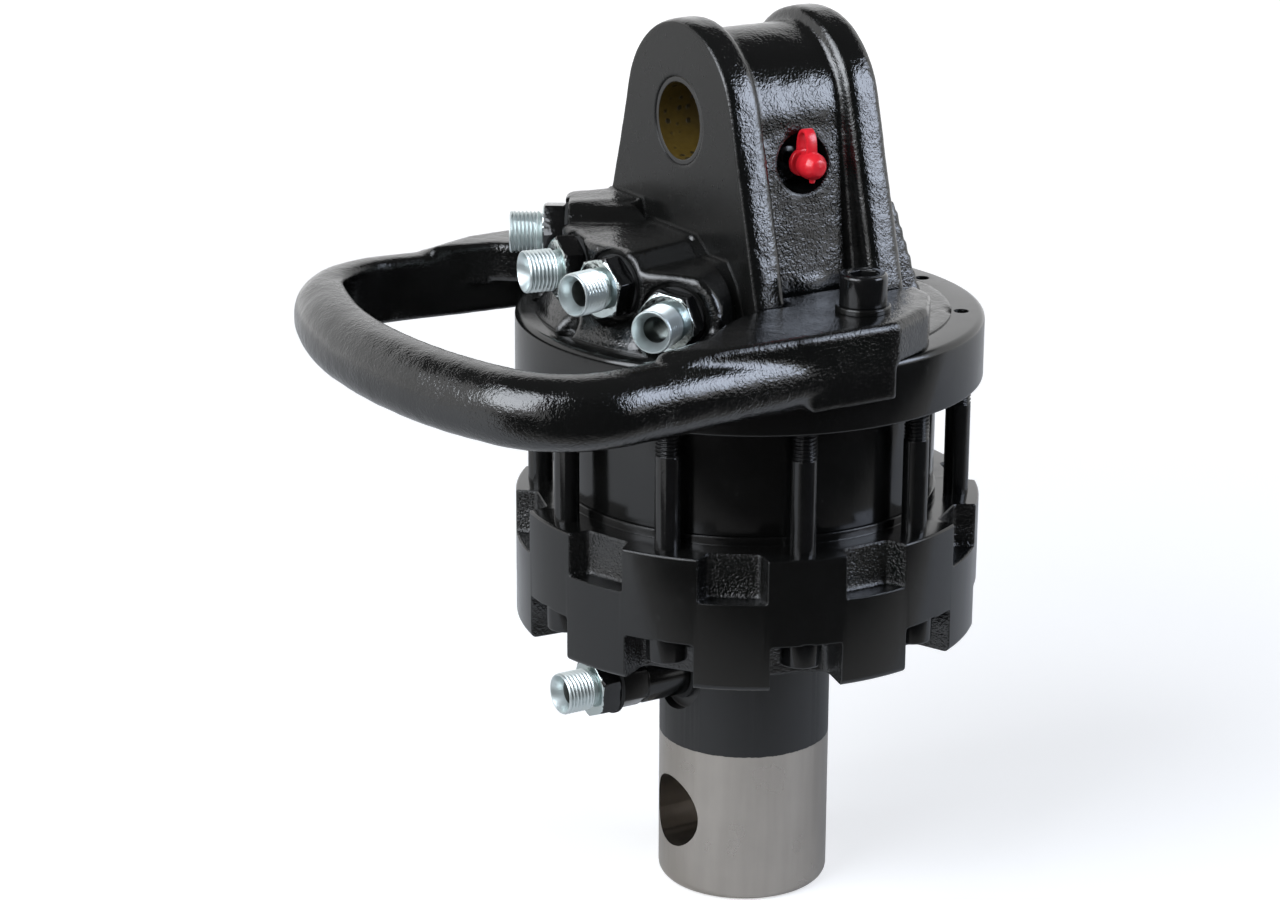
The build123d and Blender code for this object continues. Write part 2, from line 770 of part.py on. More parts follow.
# Guard screws and their washers
screw_top = lug_top + guard_washer_thickness
guard_screw = socket_screw(
    guard_screw_radius,
    guard_washer_thickness + lug_thickness + guard_screw_bite,
    guard_screw_head_radius,
    guard_screw_head,
    guard_screw_socket,
)
with BuildPart() as guard_screws:
    for x in (guard_screw_reach, -guard_screw_reach):
        with Locations(Plane(origin=(x, 0, screw_top), x_dir=(1, 0, 0), z_dir=(0, 0, -1)).location):
            add(guard_screw)
guard_screws.part.label = "guard_screws"
export_step(guard_screws.part, "parts/guard_screws.step")
with BuildPart() as guard_washers:
    with BuildSketch(Plane.XY.offset(lug_top)):
        with Locations((guard_screw_reach, 0), (-guard_screw_reach, 0)):
            annulus(guard_washer_radius, guard_screw_radius + screw_gap)
    extrude(amount=guard_washer_thickness)
guard_washers.part.label = "guard_washers"
export_step(guard_washers.part, "parts/guard_washers.step")

# Stator: a ring whose inside is a cam with one lobe for each working stroke
with BuildPart() as stator_ring:
    with BuildSketch(Plane.XY.offset(stator_bottom)):
        annulus(stator_radius, cam_minor_radius)
        with PolarLocations(cam_lobe_centre, cam_lobe_count):
            Circle(cam_lobe_radius, mode=Mode.SUBTRACT)
        with Locations((0, dowel_circle), (0, -dowel_circle)):
            Circle(dowel_radius + locating_gap, mode=Mode.SUBTRACT)
    extrude(amount=stator_height)
    for face, inward in ((stator_bottom, 1), (stator_top, -1)):
        with BuildSketch(Plane.XY.offset(face)):
            annulus(stator_seal_radius + stator_seal_width / 2, stator_seal_radius - stator_seal_width / 2)
        extrude(amount=inward * stator_seal_depth, mode=Mode.SUBTRACT)
stator_ring.part.label = "stator_ring"
export_step(stator_ring.part, "parts/stator_ring.step")

face_seal_half = stator_seal_width / 2 - locating_gap
with BuildPart() as stator_seals:
    for face, inward in ((stator_bottom, 1), (stator_top, -1)):
        with BuildSketch(Plane.XY.offset(face + inward * locating_gap)):
            annulus(stator_seal_radius + face_seal_half, stator_seal_radius - face_seal_half)
        extrude(amount=inward * (stator_seal_depth - 2 * locating_gap))
stator_seals.part.label = "stator_seals"
export_step(stator_seals.part, "parts/stator_seals.step")

# Dowels that time the stator to the head and to the lower housing
with BuildPart() as dowel_pins:
    with BuildSketch(Plane.XY.offset(stator_bottom - dowel_reach)):
        with Locations((0, dowel_circle), (0, -dowel_circle)):
            Circle(dowel_radius)
    extrude(amount=stator_height + 2 * dowel_reach)
dowel_pins.part.label = "dowel_pins"
export_step(dowel_pins.part, "parts/dowel_pins.step")

# Lower housing: pockets above, and notches between teeth below for the long screws' heads
tooth_angle = 360 / housing_screw_count
past_rim = housing_radius + flange_edge
with BuildPart() as lower_housing:
    with BuildSketch(Plane.XY.offset(housing_bottom)):
        Circle(housing_radius)
    extrude(amount=housing_height)
    chamfer(lower_housing.edges().group_by(Axis.Z)[-1], length=housing_edge)
    with BuildSketch(Plane.XY.offset(housing_top)):
        Circle(housing_land_radius)
    extrude(amount=housing_land)

    with BuildSketch(Plane.XY.offset(housing_top)):
        with PolarLocations(0, housing_screw_count, start_angle=housing_screw_first + tooth_angle / 2):
            Polygon(
                (pocket_back_radius, -pocket_back_width / 2),
                (past_rim, -pocket_mouth_width / 2),
                (past_rim, pocket_mouth_width / 2),
                (pocket_back_radius, pocket_back_width / 2),
                align=None,
            )
    extrude(amount=-pocket_height, mode=Mode.SUBTRACT)

    with BuildSketch(Plane.XY.offset(housing_bottom)):
        with PolarLocations(0, housing_screw_count, start_angle=housing_screw_first):
            Polygon(
                (notch_back_radius, -notch_back_width / 2),
                (past_rim, -notch_mouth_width / 2),
                (past_rim, notch_mouth_width / 2),
                (notch_back_radius, notch_back_width / 2),
                align=None,
            )
    extrude(amount=notch_height, taper=notch_taper, mode=Mode.SUBTRACT)
    fillet(lower_housing.edges().group_by(Axis.Z)[0].filter_by(GeomType.LINE), radius=tooth_edge)

    # Screw holes with a recess round each head, dowel holes and the stepped bore
    with BuildSketch(Plane.XY.offset(screw_seat)):
        with PolarLocations(housing_screw_circle, housing_screw_count, start_angle=housing_screw_first):
            Circle(screw_recess_radius)
    extrude(amount=-screw_recess_height, mode=Mode.SUBTRACT)
    with BuildSketch(Plane.XY.offset(screw_seat)):
        with PolarLocations(housing_screw_circle, housing_screw_count, start_angle=housing_screw_first):
            Circle(housing_screw_radius + screw_gap)
    extrude(amount=housing_top - screw_seat, mode=Mode.SUBTRACT)
    with BuildSketch(Plane.XY.offset(stator_bottom)):
        with Locations((0, dowel_circle), (0, -dowel_circle)):
            Circle(dowel_radius + locating_gap)
    extrude(amount=-dowel_reach - running_gap, mode=Mode.SUBTRACT)
    with BuildSketch(Plane.XY.offset(housing_bottom)):
        Circle(shaft_radius + shaft_clearance)
    extrude(amount=housing_height + housing_land, mode=Mode.SUBTRACT)
    with BuildSketch(Plane.XY.offset(stator_bottom)):
        Circle(thrust_outer_radius + shaft_clearance)
    extrude(amount=thrust_floor - stator_bottom, mode=Mode.SUBTRACT)
    with BuildSketch(Plane.XY.offset(thrust_floor)):
        Circle(lower_bush_bore)
    extrude(amount=-lower_bush_length, mode=Mode.SUBTRACT)
    with BuildSketch(Plane.XY.offset(housing_bottom)):
        Circle(shaft_seal_radius)
    extrude(amount=wiper_height + circlip_groove + shaft_seal_height, mode=Mode.SUBTRACT)
    with BuildSketch(Plane.XY.offset(housing_bottom + wiper_height)):
        Circle(shaft_seal_radius + circlip_bite)
    extrude(amount=circlip_groove, mode=Mode.SUBTRACT)
lower_housing.part.label = "lower_housing"
export_step(lower_housing.part, "parts/lower_housing.step")

# Long screws, their heads up against the ceilings of the notches
housing_screw = socket_screw(
    housing_screw_radius,
    housing_screw_length,
    housing_screw_head_radius,
    housing_screw_head,
    housing_screw_socket,
)
with BuildPart() as housing_screws:
    with Locations(Plane.XY.offset(screw_seat).location):
        with PolarLocations(housing_screw_circle, housing_screw_count, start_angle=housing_screw_first):
            add(housing_screw)
housing_screws.part.label = "housing_screws"
export_step(housing_screws.part, "parts/housing_screws.step")

# Journal bushes
with BuildPart() as upper_bush:
    with BuildSketch(Plane.XY.offset(stator_top)):
        annulus(journal_bore_radius + upper_bush_wall - locating_gap, journal_bore_radius)
    extrude(amount=upper_bush_length)
upper_bush.part.label = "upper_bush"
export_step(upper_bush.part, "parts/upper_bush.step")
with BuildPart() as lower_bush:
    with BuildSketch(Plane.XY.offset(thrust_floor)):
        annulus(lower_bush_bore - locating_gap, running_radius)
    extrude(amount=-lower_bush_length)
lower_bush.part.label = "lower_bush"
export_step(lower_bush.part, "parts/lower_bush.step")

# Seals: three in the swivel, and a lip seal, a circlip and a wiper round the shaft
with BuildPart() as swivel_seals:
    for height in swivel_heights:
        with BuildSketch(Plane.XY.offset(height - swivel_seal_width / 2 + locating_gap)):
            annulus(journal_bore_radius + swivel_seal_depth - locating_gap, journal_bore_radius)
        extrude(amount=swivel_seal_width - 2 * locating_gap)
swivel_seals.part.label = "swivel_seals"
export_step(swivel_seals.part, "parts/swivel_seals.step")
with BuildPart() as shaft_seal:
    with BuildSketch(Plane.XY.offset(seal_low)):
        annulus(shaft_seal_radius - locating_gap, running_radius)
    extrude(amount=shaft_seal_height)
shaft_seal.part.label = "shaft_seal"
export_step(shaft_seal.part, "parts/shaft_seal.step")
with BuildPart() as wiper_ring:
    with BuildSketch(Plane.XY.offset(housing_bottom)):
        annulus(shaft_seal_radius - locating_gap, running_radius)
    extrude(amount=wiper_height)
wiper_ring.part.label = "wiper_ring"
export_step(wiper_ring.part, "parts/wiper_ring.step")
circlip_outer = shaft_seal_radius + circlip_bite - locating_gap
with BuildPart() as seal_circlip:
    with BuildSketch(Plane.XY.offset(housing_bottom + wiper_height + circlip_gap / 2)):
        annulus(circlip_outer, circlip_outer - circlip_width)
        with Locations((circlip_outer - circlip_width / 2, 0)):
            Rectangle(2 * circlip_width, circlip_opening, mode=Mode.SUBTRACT)
    extrude(amount=circlip_groove - circlip_gap)
seal_circlip.part.label = "seal_circlip"
export_step(seal_circlip.part, "parts/seal_circlip.step")

# Roller thrust bearing: one washer turns with the rotor, the other stays in the housing
with BuildPart() as thrust_washer_upper:
    with BuildSketch(Plane.XY.offset(rotor_bottom)):
        annulus(thrust_outer_radius, thrust_inner_radius)
    extrude(amount=-thrust_washer)
thrust_washer_upper.part.label = "thrust_washer_upper"
export_step(thrust_washer_upper.part, "parts/thrust_washer_upper.step")
with BuildPart() as thrust_washer_lower:
    with BuildSketch(Plane.XY.offset(thrust_low_top)):
        annulus(thrust_outer_radius, thrust_inner_radius)
    extrude(amount=-thrust_washer)
thrust_washer_lower.part.label = "thrust_washer_lower"
export_step(thrust_washer_lower.part, "parts/thrust_washer_lower.step")
with BuildPart() as roller_cage:
    with BuildSketch(Plane.XY.offset(thrust_roller_mid - cage_thickness / 2)):
        annulus(thrust_outer_radius - cage_edge, thrust_inner_radius + cage_edge)
        with PolarLocations(roller_circle, roller_count):
            Rectangle(roller_length + 2 * cage_gap, 2 * (roller_radius + cage_gap), mode=Mode.SUBTRACT)
    extrude(amount=cage_thickness)
roller_cage.part.label = "roller_cage"
export_step(roller_cage.part, "parts/roller_cage.step")
with BuildPart() as thrust_roller:
    with BuildSketch(Plane.YZ):
        Circle(roller_radius)
    extrude(amount=roller_length / 2, both=True)
with BuildPart() as thrust_rollers:
    with Locations((0, 0, thrust_roller_mid)):
        with PolarLocations(roller_circle, roller_count):
            add(thrust_roller.part)
thrust_rollers.part.label = "thrust_rollers"
export_step(thrust_rollers.part, "parts/thrust_rollers.step")

# Output shaft: the shaft, the rotor and the swivel journal are one piece
with BuildPart() as output_shaft:
    with BuildSketch(Plane.XZ):
        Polygon(
            (0, shaft_end),
            (shaft_radius, shaft_end),
            (shaft_radius, rotor_bottom),
            (rotor_radius, rotor_bottom),
            (rotor_radius, rotor_top),
            (journal_radius, rotor_top),
            (journal_radius, journal_top),
            (0, journal_top),
            align=None,
        )
    revolve(axis=Axis.Z)
    fillet(output_shaft.edges().group_by(Axis.Z)[0], radius=shaft_edge)
    chamfer(output_shaft.edges().group_by(Axis.Z)[-1], length=journal_edge)

    # Cross pin hole and vane slots
    with BuildSketch(Plane.XZ):
        with Locations((0, shaft_end + shaft_pin_height)):
            Circle(shaft_pin_radius)
    extrude(amount=shaft_radius, both=True, mode=Mode.SUBTRACT)
    with BuildSketch(Plane.XY.offset(rotor_bottom)):
        with PolarLocations(vane_slot_floor + (vane_slot_depth + overcut) / 2, vane_count):
            Rectangle(vane_slot_depth + overcut, vane_thickness + 2 * running_gap)
    extrude(amount=rotor_height, mode=Mode.SUBTRACT)

    # Swivel grooves, and a passage from each groove down to a port near the shaft's end
    for azimuth, groove_height in zip((0, 180), groove_heights):
        with BuildSketch(Plane.XY.offset(groove_height - oil_groove_width / 2)):
            annulus(journal_radius, journal_radius - oil_groove_depth)
        extrude(amount=oil_groove_width, mode=Mode.SUBTRACT)
        with BuildSketch(port_plane(azimuth, groove_height, journal_radius)):
            Circle(cross_drill_radius)
        extrude(amount=shaft_drill_reach - journal_radius, mode=Mode.SUBTRACT)
        with BuildSketch(Plane.XY.offset(journal_top)):
            with Locations(on_circle(shaft_drill_reach, azimuth)):
                Circle(shaft_drill_radius)
        extrude(amount=shaft_port_z - journal_top, mode=Mode.SUBTRACT)
        seat = port_plane(azimuth, shaft_port_z, shaft_spotface_flat)
        with BuildSketch(seat):
            Circle(shaft_spotface_radius)
        extrude(amount=shaft_radius - shaft_spotface_flat, mode=Mode.SUBTRACT)
        with BuildSketch(seat):
            Circle(seal_bore_radius)
        extrude(amount=-port_thread_depth, mode=Mode.SUBTRACT)
        with BuildSketch(seat):
            Circle(shaft_drill_radius)
        extrude(amount=shaft_drill_reach - shaft_spotface_flat, mode=Mode.SUBTRACT)
output_shaft.part.label = "output_shaft"
export_step(output_shaft.part, "parts/output_shaft.step")

# Plugs that close the tops of the passages
with BuildPart() as passage_plugs:
    with BuildSketch(Plane.XY.offset(journal_top)):
        with Locations((0, shaft_drill_reach), (0, -shaft_drill_reach)):
            Circle(shaft_drill_radius - locating_gap)
    extrude(amount=-plug_length)
passage_plugs.part.label = "passage_plugs"
export_step(passage_plugs.part, "parts/passage_plugs.step")

# Vanes, drawn pushed in, and the leaf springs that press them out
vane_middle = vane_tip_radius - vane_depth / 2
with BuildPart() as vanes:
    with BuildSketch(Plane.XY.offset(rotor_bottom)):
        with PolarLocations(vane_middle, vane_count):
            Rectangle(vane_depth, vane_thickness)
    extrude(amount=rotor_height)
    tips = vanes.edges().filter_by(Axis.Z)
    tips = tips.filter_by(lambda e: math.hypot(e.center().X, e.center().Y) > vane_middle)
    chamfer(tips, length=vane_tip_edge)
vanes.part.label = "vanes"
export_step(vanes.part, "parts/vanes.step")

spring_low = vane_slot_floor + running_gap + spring_thickness / 2
spring_high = vane_tip_radius - vane_depth - running_gap - spring_thickness / 2
rotor_middle = (rotor_top + rotor_bottom) / 2
with BuildPart() as vane_spring:
    with BuildSketch(Plane.XZ):
        with BuildLine():
            ThreePointArc((spring_low, -spring_length / 2), (spring_high, 0), (spring_low, spring_length / 2))
        trace(line_width=spring_thickness)
    extrude(amount=spring_width / 2, both=True)
with BuildPart() as vane_springs:
    with Locations((0, 0, rotor_middle)):
        with PolarLocations(0, vane_count):
            add(vane_spring.part)
vane_springs.part.label = "vane_springs"
export_step(vane_springs.part, "parts/vane_springs.step")

# Port extensions on the shaft: z = 0 is the spotface, +Z points away from the shaft
extension_end = seal_thickness + extension_length
extension_hexagon = hexagon(extension_hex, extension_end - extension_hex_length, extension_hex_length)
with BuildPart() as extension_blank:
    with BuildSketch(Plane.XY.offset(seal_thickness)):
        Circle(extension_radius)
    extrude(amount=extension_length - extension_hex_length)
    add(extension_hexagon)
    with BuildSketch(Plane.XY.offset(seal_thickness)):
        Circle(port_thread_radius)
    extrude(amount=-seal_thickness - adapter_stud_length)
    chamfer(extension_blank.edges().group_by(Axis.Z)[0], length=adapter_tip)
    with BuildSketch(Plane.XY.offset(extension_end)):
        Circle(seal_bore_radius)
    extrude(amount=-port_thread_depth, mode=Mode.SUBTRACT)
    with BuildSketch(Plane.XY.offset(extension_end)):
        Circle(extension_bore_radius)
    extrude(amount=-extension_end - adapter_stud_length, mode=Mode.SUBTRACT)

for azimuth, place in ((0, "front"), (180, "rear")):
    spotface = port_plane(azimuth, shaft_port_z, shaft_spotface_flat)
    with BuildPart() as port_extension:
        with Locations(spotface.location):
            add(extension_blank.part)
    port_extension.part.label = f"port_extension_{place}"
    export_step(port_extension.part, f"parts/port_extension_{place}.step")
    with BuildPart() as shaft_adapter:
        with Locations(spotface.offset(extension_end).location):
            add(adapter_blank.part)
    shaft_adapter.part.label = f"shaft_adapter_{place}"
    export_step(shaft_adapter.part, f"parts/shaft_adapter_{place}.step")

with BuildPart() as shaft_port_seals:
    for azimuth in (0, 180):
        for reach in (shaft_spotface_flat, shaft_spotface_flat + extension_end):
            with Locations(port_plane(azimuth, shaft_port_z, reach).location):
                add(seal_blank.part)
shaft_port_seals.part.label = "shaft_port_seals"
export_step(shaft_port_seals.part, "parts/shaft_port_seals.step")
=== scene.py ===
import json
import logging
import math
from dataclasses import dataclass
from enum import Enum
from typing import Callable, Sequence

import bmesh
import bpy
from mathutils import Matrix, Vector, noise


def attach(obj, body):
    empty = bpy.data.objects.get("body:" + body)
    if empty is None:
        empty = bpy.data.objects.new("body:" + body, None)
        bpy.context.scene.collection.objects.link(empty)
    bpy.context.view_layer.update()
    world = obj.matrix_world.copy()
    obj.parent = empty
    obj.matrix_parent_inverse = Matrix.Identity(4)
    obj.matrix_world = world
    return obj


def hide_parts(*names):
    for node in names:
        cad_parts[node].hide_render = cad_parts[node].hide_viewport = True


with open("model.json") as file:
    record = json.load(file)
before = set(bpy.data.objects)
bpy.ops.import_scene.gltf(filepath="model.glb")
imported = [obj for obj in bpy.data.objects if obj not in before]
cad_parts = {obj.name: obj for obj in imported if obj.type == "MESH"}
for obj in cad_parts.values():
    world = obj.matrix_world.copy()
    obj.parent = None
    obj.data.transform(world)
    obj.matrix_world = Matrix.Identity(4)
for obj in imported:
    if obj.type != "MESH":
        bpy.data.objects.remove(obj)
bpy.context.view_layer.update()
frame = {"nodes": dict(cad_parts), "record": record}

log = logging.getLogger("rotator")

Point = tuple[float, float]
Colour = tuple[float, float, float]
Corner = tuple[float, ...]  # two coordinates and, where the corner is rounded, its radius

MM = 0.001
FULL_TURN = 2 * math.pi
SMOOTH_ANGLE = math.radians(32)
NOISE_SPAN = (0.3, 0.7)  # most of a noise texture's values lie in it
WHITE = (1.0, 1.0, 1.0, 1.0)
STAGE_GREY = (0.55, 0.55, 0.55, 1.0)

# Frames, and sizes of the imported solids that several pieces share, in millimetres
HOME = Matrix.Identity(4)
FRONTWARDS = Matrix(((1, 0, 0, 0), (0, 0, -1, 0), (0, 1, 0, 0), (0, 0, 0, 1)))  # z to -Y, y up
SIDEWARDS = Matrix(((0, 0, 1, 0), (1, 0, 0, 0), (0, 1, 0, 0), (0, 0, 0, 1)))  # z to +X, y up
PORT_AZIMUTHS = (-33.0, -9.8, 12.2, 34.4)
PORT_HEIGHTS = (-49.0, -55.5, -56.4, -64.7)
PORT_SEAT = 71.0
STUD_RADIUS = 8.3
STUD_HOLE = 8.5
STUD_FOOT = -11.0
SEAL_TOP = 1.2
HOUSING_RADIUS = 92.3
SCREW_COUNT = 10
SCREW_CIRCLE = 83.0
FIRST_SCREW = 18.0
STATOR_TOP = -105.0
STATOR_BOTTOM = -148.5
LAND_RADIUS = 77.0
LUG_TOP = -61.0
GREASE_HEIGHT = -13.0
GREASE_FLOOR = 20.0
SHAFT_END = -318.5
SHAFT_PORT = -224.5
SHAFT_SEAT = 30.6


class Body(str, Enum):
    """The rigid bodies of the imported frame."""

    HOUSING = "housing"
    ROTOR = "rotor"


class Slot(str, Enum):
    """The record's material slots."""

    CASTING = "gloss_black_casting"
    STEEL_BLACK = "satin_black_steel"
    SCREW = "black_screw"
    ZINC = "zinc_plate"
    STEEL = "bare_steel"
    CAGE = "brass_cage"
    BUSH = "composite_bush"
    PLASTIC = "red_plastic"
    RUBBER = "seal_rubber"


class Cut(str, Enum):
    """How one solid works on another."""

    REMOVE = "DIFFERENCE"
    JOIN = "UNION"
    KEEP = "INTERSECT"


def stand(name: str, data: bpy.types.ID) -> bpy.types.Object:
    """Puts an object with this data into the scene and returns it."""
    placed = bpy.data.objects.new(name, data)
    bpy.context.scene.collection.objects.link(placed)
    return placed


# Node trees


class Wiring:
    """Adds and links the nodes of one shader or geometry tree."""

    def __init__(self, tree: bpy.types.NodeTree) -> None:
        """Takes the empty tree that the nodes go into."""
        self.tree = tree

    def node(self, kind: str, values: dict[str | int, object] | None = None, **settings: object) -> bpy.types.Node:
        """Adds one node.

        Args:
            kind: Blender's name for the node's type.
            values: what its inputs get: a plain value or another node's output.
            settings: what its own properties get.

        Returns:
            The new node.
        """
        new = self.tree.nodes.new(kind)
        for name, setting in settings.items():
            setattr(new, name, setting)
        for name, value in (values or {}).items():
            self.feed(new.inputs[name], value)
        return new

    def feed(self, socket: bpy.types.NodeSocket, value: object) -> None:
        """Links one input to an output, or sets it to a plain value.

        Args:
            socket: the input.
            value: the output or the plain value.
        """
        if isinstance(value, bpy.types.NodeSocket):
            self.tree.links.new(value, socket)
        else:
            socket.default_value = value

    def math(self, operation: str, first: object, second: object = 0.0, third: object = 0.0) -> bpy.types.NodeSocket:
        """Adds a Math node for up to three terms and returns its output."""
        return self.node("ShaderNodeMath", {0: first, 1: second, 2: third}, operation=operation).outputs[0]

    def spread(self, value: object, low: float, high: float, to_low: float, to_high: float) -> bpy.types.NodeSocket:
        """Maps low to high onto to_low to to_high without running past the ends, and returns the output."""
        inputs = {"Value": value, "From Min": low, "From Max": high, "To Min": to_low, "To Max": to_high}
        return self.node("ShaderNodeMapRange", inputs).outputs[0]


class Paintwork(Wiring):
    """The shader tree of one material, on Object coordinates in metres."""

    def __init__(self, name: str) -> None:
        """Makes the material with a Principled shader.

        Args:
            name: the material's name.
        """
        self.material = bpy.data.materials.new(name)
        self.material.use_nodes = True
        self.material.node_tree.nodes.clear()
        super().__init__(self.material.node_tree)
        self.where = self.node("ShaderNodeTexCoord").outputs["Object"]
        self.shader = self.node("ShaderNodeBsdfPrincipled")
        self.node("ShaderNodeOutputMaterial", {"Surface": self.shader.outputs[0]})

    def grain(
        self, size_mm: float, detail: float = 2.0, distortion: float = 0.0, stretch: float = 1.0
    ) -> bpy.types.NodeSocket:
        """Adds noise.

        Args:
            size_mm: size of its features in millimetres.
            detail: how many finer layers it has.
            distortion: how far it is pulled about.
            stretch: how much shorter its features are along Z.

        Returns:
            The noise's value, about 0.5 on average.
        """
        where = self.where
        if stretch != 1.0:
            where = self.node("ShaderNodeMapping", {"Vector": where, "Scale": (1.0, 1.0, stretch)}).outputs[0]
        inputs = {"Vector": where, "Scale": 1 / (size_mm * MM), "Detail": detail, "Distortion": distortion}
        return self.node("ShaderNodeTexNoise", inputs).outputs[0]

    def vary(self, grain: bpy.types.NodeSocket, ends: Point) -> bpy.types.NodeSocket:
        """Spreads noise over a range of values and returns the output."""
        return self.spread(grain, *NOISE_SPAN, *ends)

    def tint(self, share: object, *ends: object) -> bpy.types.NodeSocket:
        """Mixes two colours.

        Args:
            share: how much of the second colour shows.
            ends: the two, each a plain colour or another node's output.

        Returns:
            The mixed colour's output.
        """
        first, second = (end if isinstance(end, bpy.types.NodeSocket) else (*end, 1.0) for end in ends)
        return self.node("ShaderNodeMix", {0: share, 6: first, 7: second}, data_type="RGBA").outputs[2]

    def relief(self, height: object, depth_mm: float, strength: float = 1.0) -> None:
        """Adds relief on top of the relief that the shader already has.

        Args:
            height: the height's output, from 0 to 1.
            depth_mm: what a height of 1 stands for, in millimetres.
            strength: how strongly it turns the normal.
        """
        inputs = {"Strength": strength, "Distance": depth_mm * MM, "Height": height}
        bump = self.node("ShaderNodeBump", inputs)
        worn = self.shader.inputs["Normal"]
        if worn.is_linked:
            self.tree.links.new(worn.links[0].from_socket, bump.inputs["Normal"])
        self.tree.links.new(bump.outputs[0], worn)

    def soften(self, radius_mm: float) -> None:
        """Rounds the shading over sharp edges by a radius, as a coat of paint does."""
        eased = self.node("ShaderNodeBevel", {"Radius": radius_mm * MM}, samples=4)
        self.tree.links.new(eased.outputs[0], self.shader.inputs["Normal"])

    def wear(self, **values: object) -> None:
        """Sets the shader's inputs, named with _ for a space, to values or outputs."""
        for name, value in values.items():
            self.feed(self.shader.inputs[name.replace("_", " ")], value)


@dataclass(frozen=True)
class Finish:
    """A finish that is built once and shared by every piece that has it."""

    name: str

    def material(self) -> bpy.types.Material:
        """Returns the finish's material, built the first time it is asked for."""
        known = bpy.data.materials.get(self.name)
        if known:
            return known
        work = Paintwork(self.name)
        self.paint(work)
        return work.material

    def paint(self, work: Paintwork) -> None:
        """Wires the finish into its tree. Each kind of finish has its own way."""
        raise NotImplementedError


@dataclass(frozen=True)
class CastingPaint(Finish):
    """Gloss black paint over a sand casting, which shows through as orange peel and pits."""

    dark: Colour = (0.0026, 0.0027, 0.0025)
    light: Colour = (0.0050, 0.0051, 0.0048)
    gloss: Point = (0.06, 0.12)
    cloud_mm: float = 16.0
    peel_mm: float = 1.25
    peel_depth_mm: float = 0.25
    swell_mm: float = 4.0
    swell_depth_mm: float = 0.07
    pit_mm: float = 0.55
    pit_depth_mm: float = 0.05
    edge_mm: float = 1.8

    def paint(self, work: Paintwork) -> None:
        """Wires the paint, whose peel is heavier in some places than in others.

        Args:
            work: the tree to wire.
        """
        cloud = work.grain(self.cloud_mm)
        heavy = work.spread(cloud, 0.40, 0.62, 0.45, 1.0)
        peel = work.math("MULTIPLY", work.grain(self.peel_mm, 2.0, 0.5), heavy)
        work.wear(Base_Color=work.tint(cloud, self.dark, self.light))
        work.wear(Roughness=work.vary(cloud, self.gloss), Specular_IOR_Level=0.7)
        work.soften(self.edge_mm)
        work.relief(work.grain(self.swell_mm, 1.0), self.swell_depth_mm)
        work.relief(peel, self.peel_depth_mm)
        work.relief(work.grain(self.pit_mm, 1.0), self.pit_depth_mm)


@dataclass(frozen=True)
class MachinedPaint(Finish):
    """Black paint over a machined face: satin, with a fine grain and specks of dust."""

    colour: Colour = (0.0055, 0.0055, 0.0051)
    gloss: Point = (0.22, 0.30)
    grain_depth_mm: float = 0.035
    shine: float = 0.5
    edge_mm: float = 1.8
    cloud_mm: float = 14.0
    grain_mm: float = 0.8
    dust_mm: float = 3.5

    def paint(self, work: Paintwork) -> None:
        """Wires the paint.

        Args:
            work: the tree to wire.
        """
        cloud = work.grain(self.cloud_mm, 3.0)
        dust = work.spread(work.grain(self.dust_mm, 4.0), 0.64, 0.75, 0.0, 1.0)
        rough = work.math("MULTIPLY_ADD", dust, 0.08, work.vary(cloud, self.gloss))
        work.wear(Base_Color=work.tint(cloud, self.colour, tuple(1.5 * part for part in self.colour)))
        work.wear(Roughness=rough, Specular_IOR_Level=self.shine)
        work.soften(self.edge_mm)
        work.relief(work.grain(self.grain_mm), self.grain_depth_mm, 0.5)
        work.relief(dust, self.grain_depth_mm)


@dataclass(frozen=True)
class ZincPlate(Finish):
    """Bright zinc plate with a faint blue and green passivation."""

    dark: Colour = (0.40, 0.46, 0.45)
    light: Colour = (0.54, 0.59, 0.59)
    gloss: Point = (0.08, 0.18)

    def paint(self, work: Paintwork) -> None:
        """Wires the plating.

        Args:
            work: the tree to wire.
        """
        work.wear(Base_Color=work.tint(work.grain(5.0, 3.0, 0.6), self.dark, self.light), Metallic=1.0)
        work.wear(Roughness=work.vary(work.grain(1.5, 3.0), self.gloss))
        work.relief(work.grain(0.6), 0.02, 0.4)


@dataclass(frozen=True)
class HexPaint(Finish):
    """Black overspray on a zinc plated hexagon, with the plating bare at its front end."""

    black: Colour = (0.0035, 0.0035, 0.0035)
    zinc: Colour = (0.52, 0.58, 0.57)
    gloss: Point = (0.08, 0.20)
    bare_from: float = 9.55
    ragged: float = 1.6
    fade: float = 0.08

    def paint(self, work: Paintwork) -> None:
        """Wires the overspray, whose edge follows the attribute that runs along the adapter.

        Args:
            work: the tree to wire.
        """
        along = work.node("ShaderNodeAttribute", attribute_name="along").outputs["Fac"]
        wander = work.math("MULTIPLY_ADD", work.grain(1.8, 3.0, 0.5), self.ragged, along)
        edge = self.bare_from + self.ragged / 2
        bare = work.spread(wander, edge - self.fade, edge + self.fade, 0.0, 1.0)
        work.wear(Base_Color=work.tint(bare, self.black, self.zinc), Metallic=bare)
        work.wear(Roughness=work.vary(work.grain(2.0, 3.0), self.gloss))
        work.relief(work.grain(2.4, 1.0), 0.12)
        work.relief(bare, -0.05)


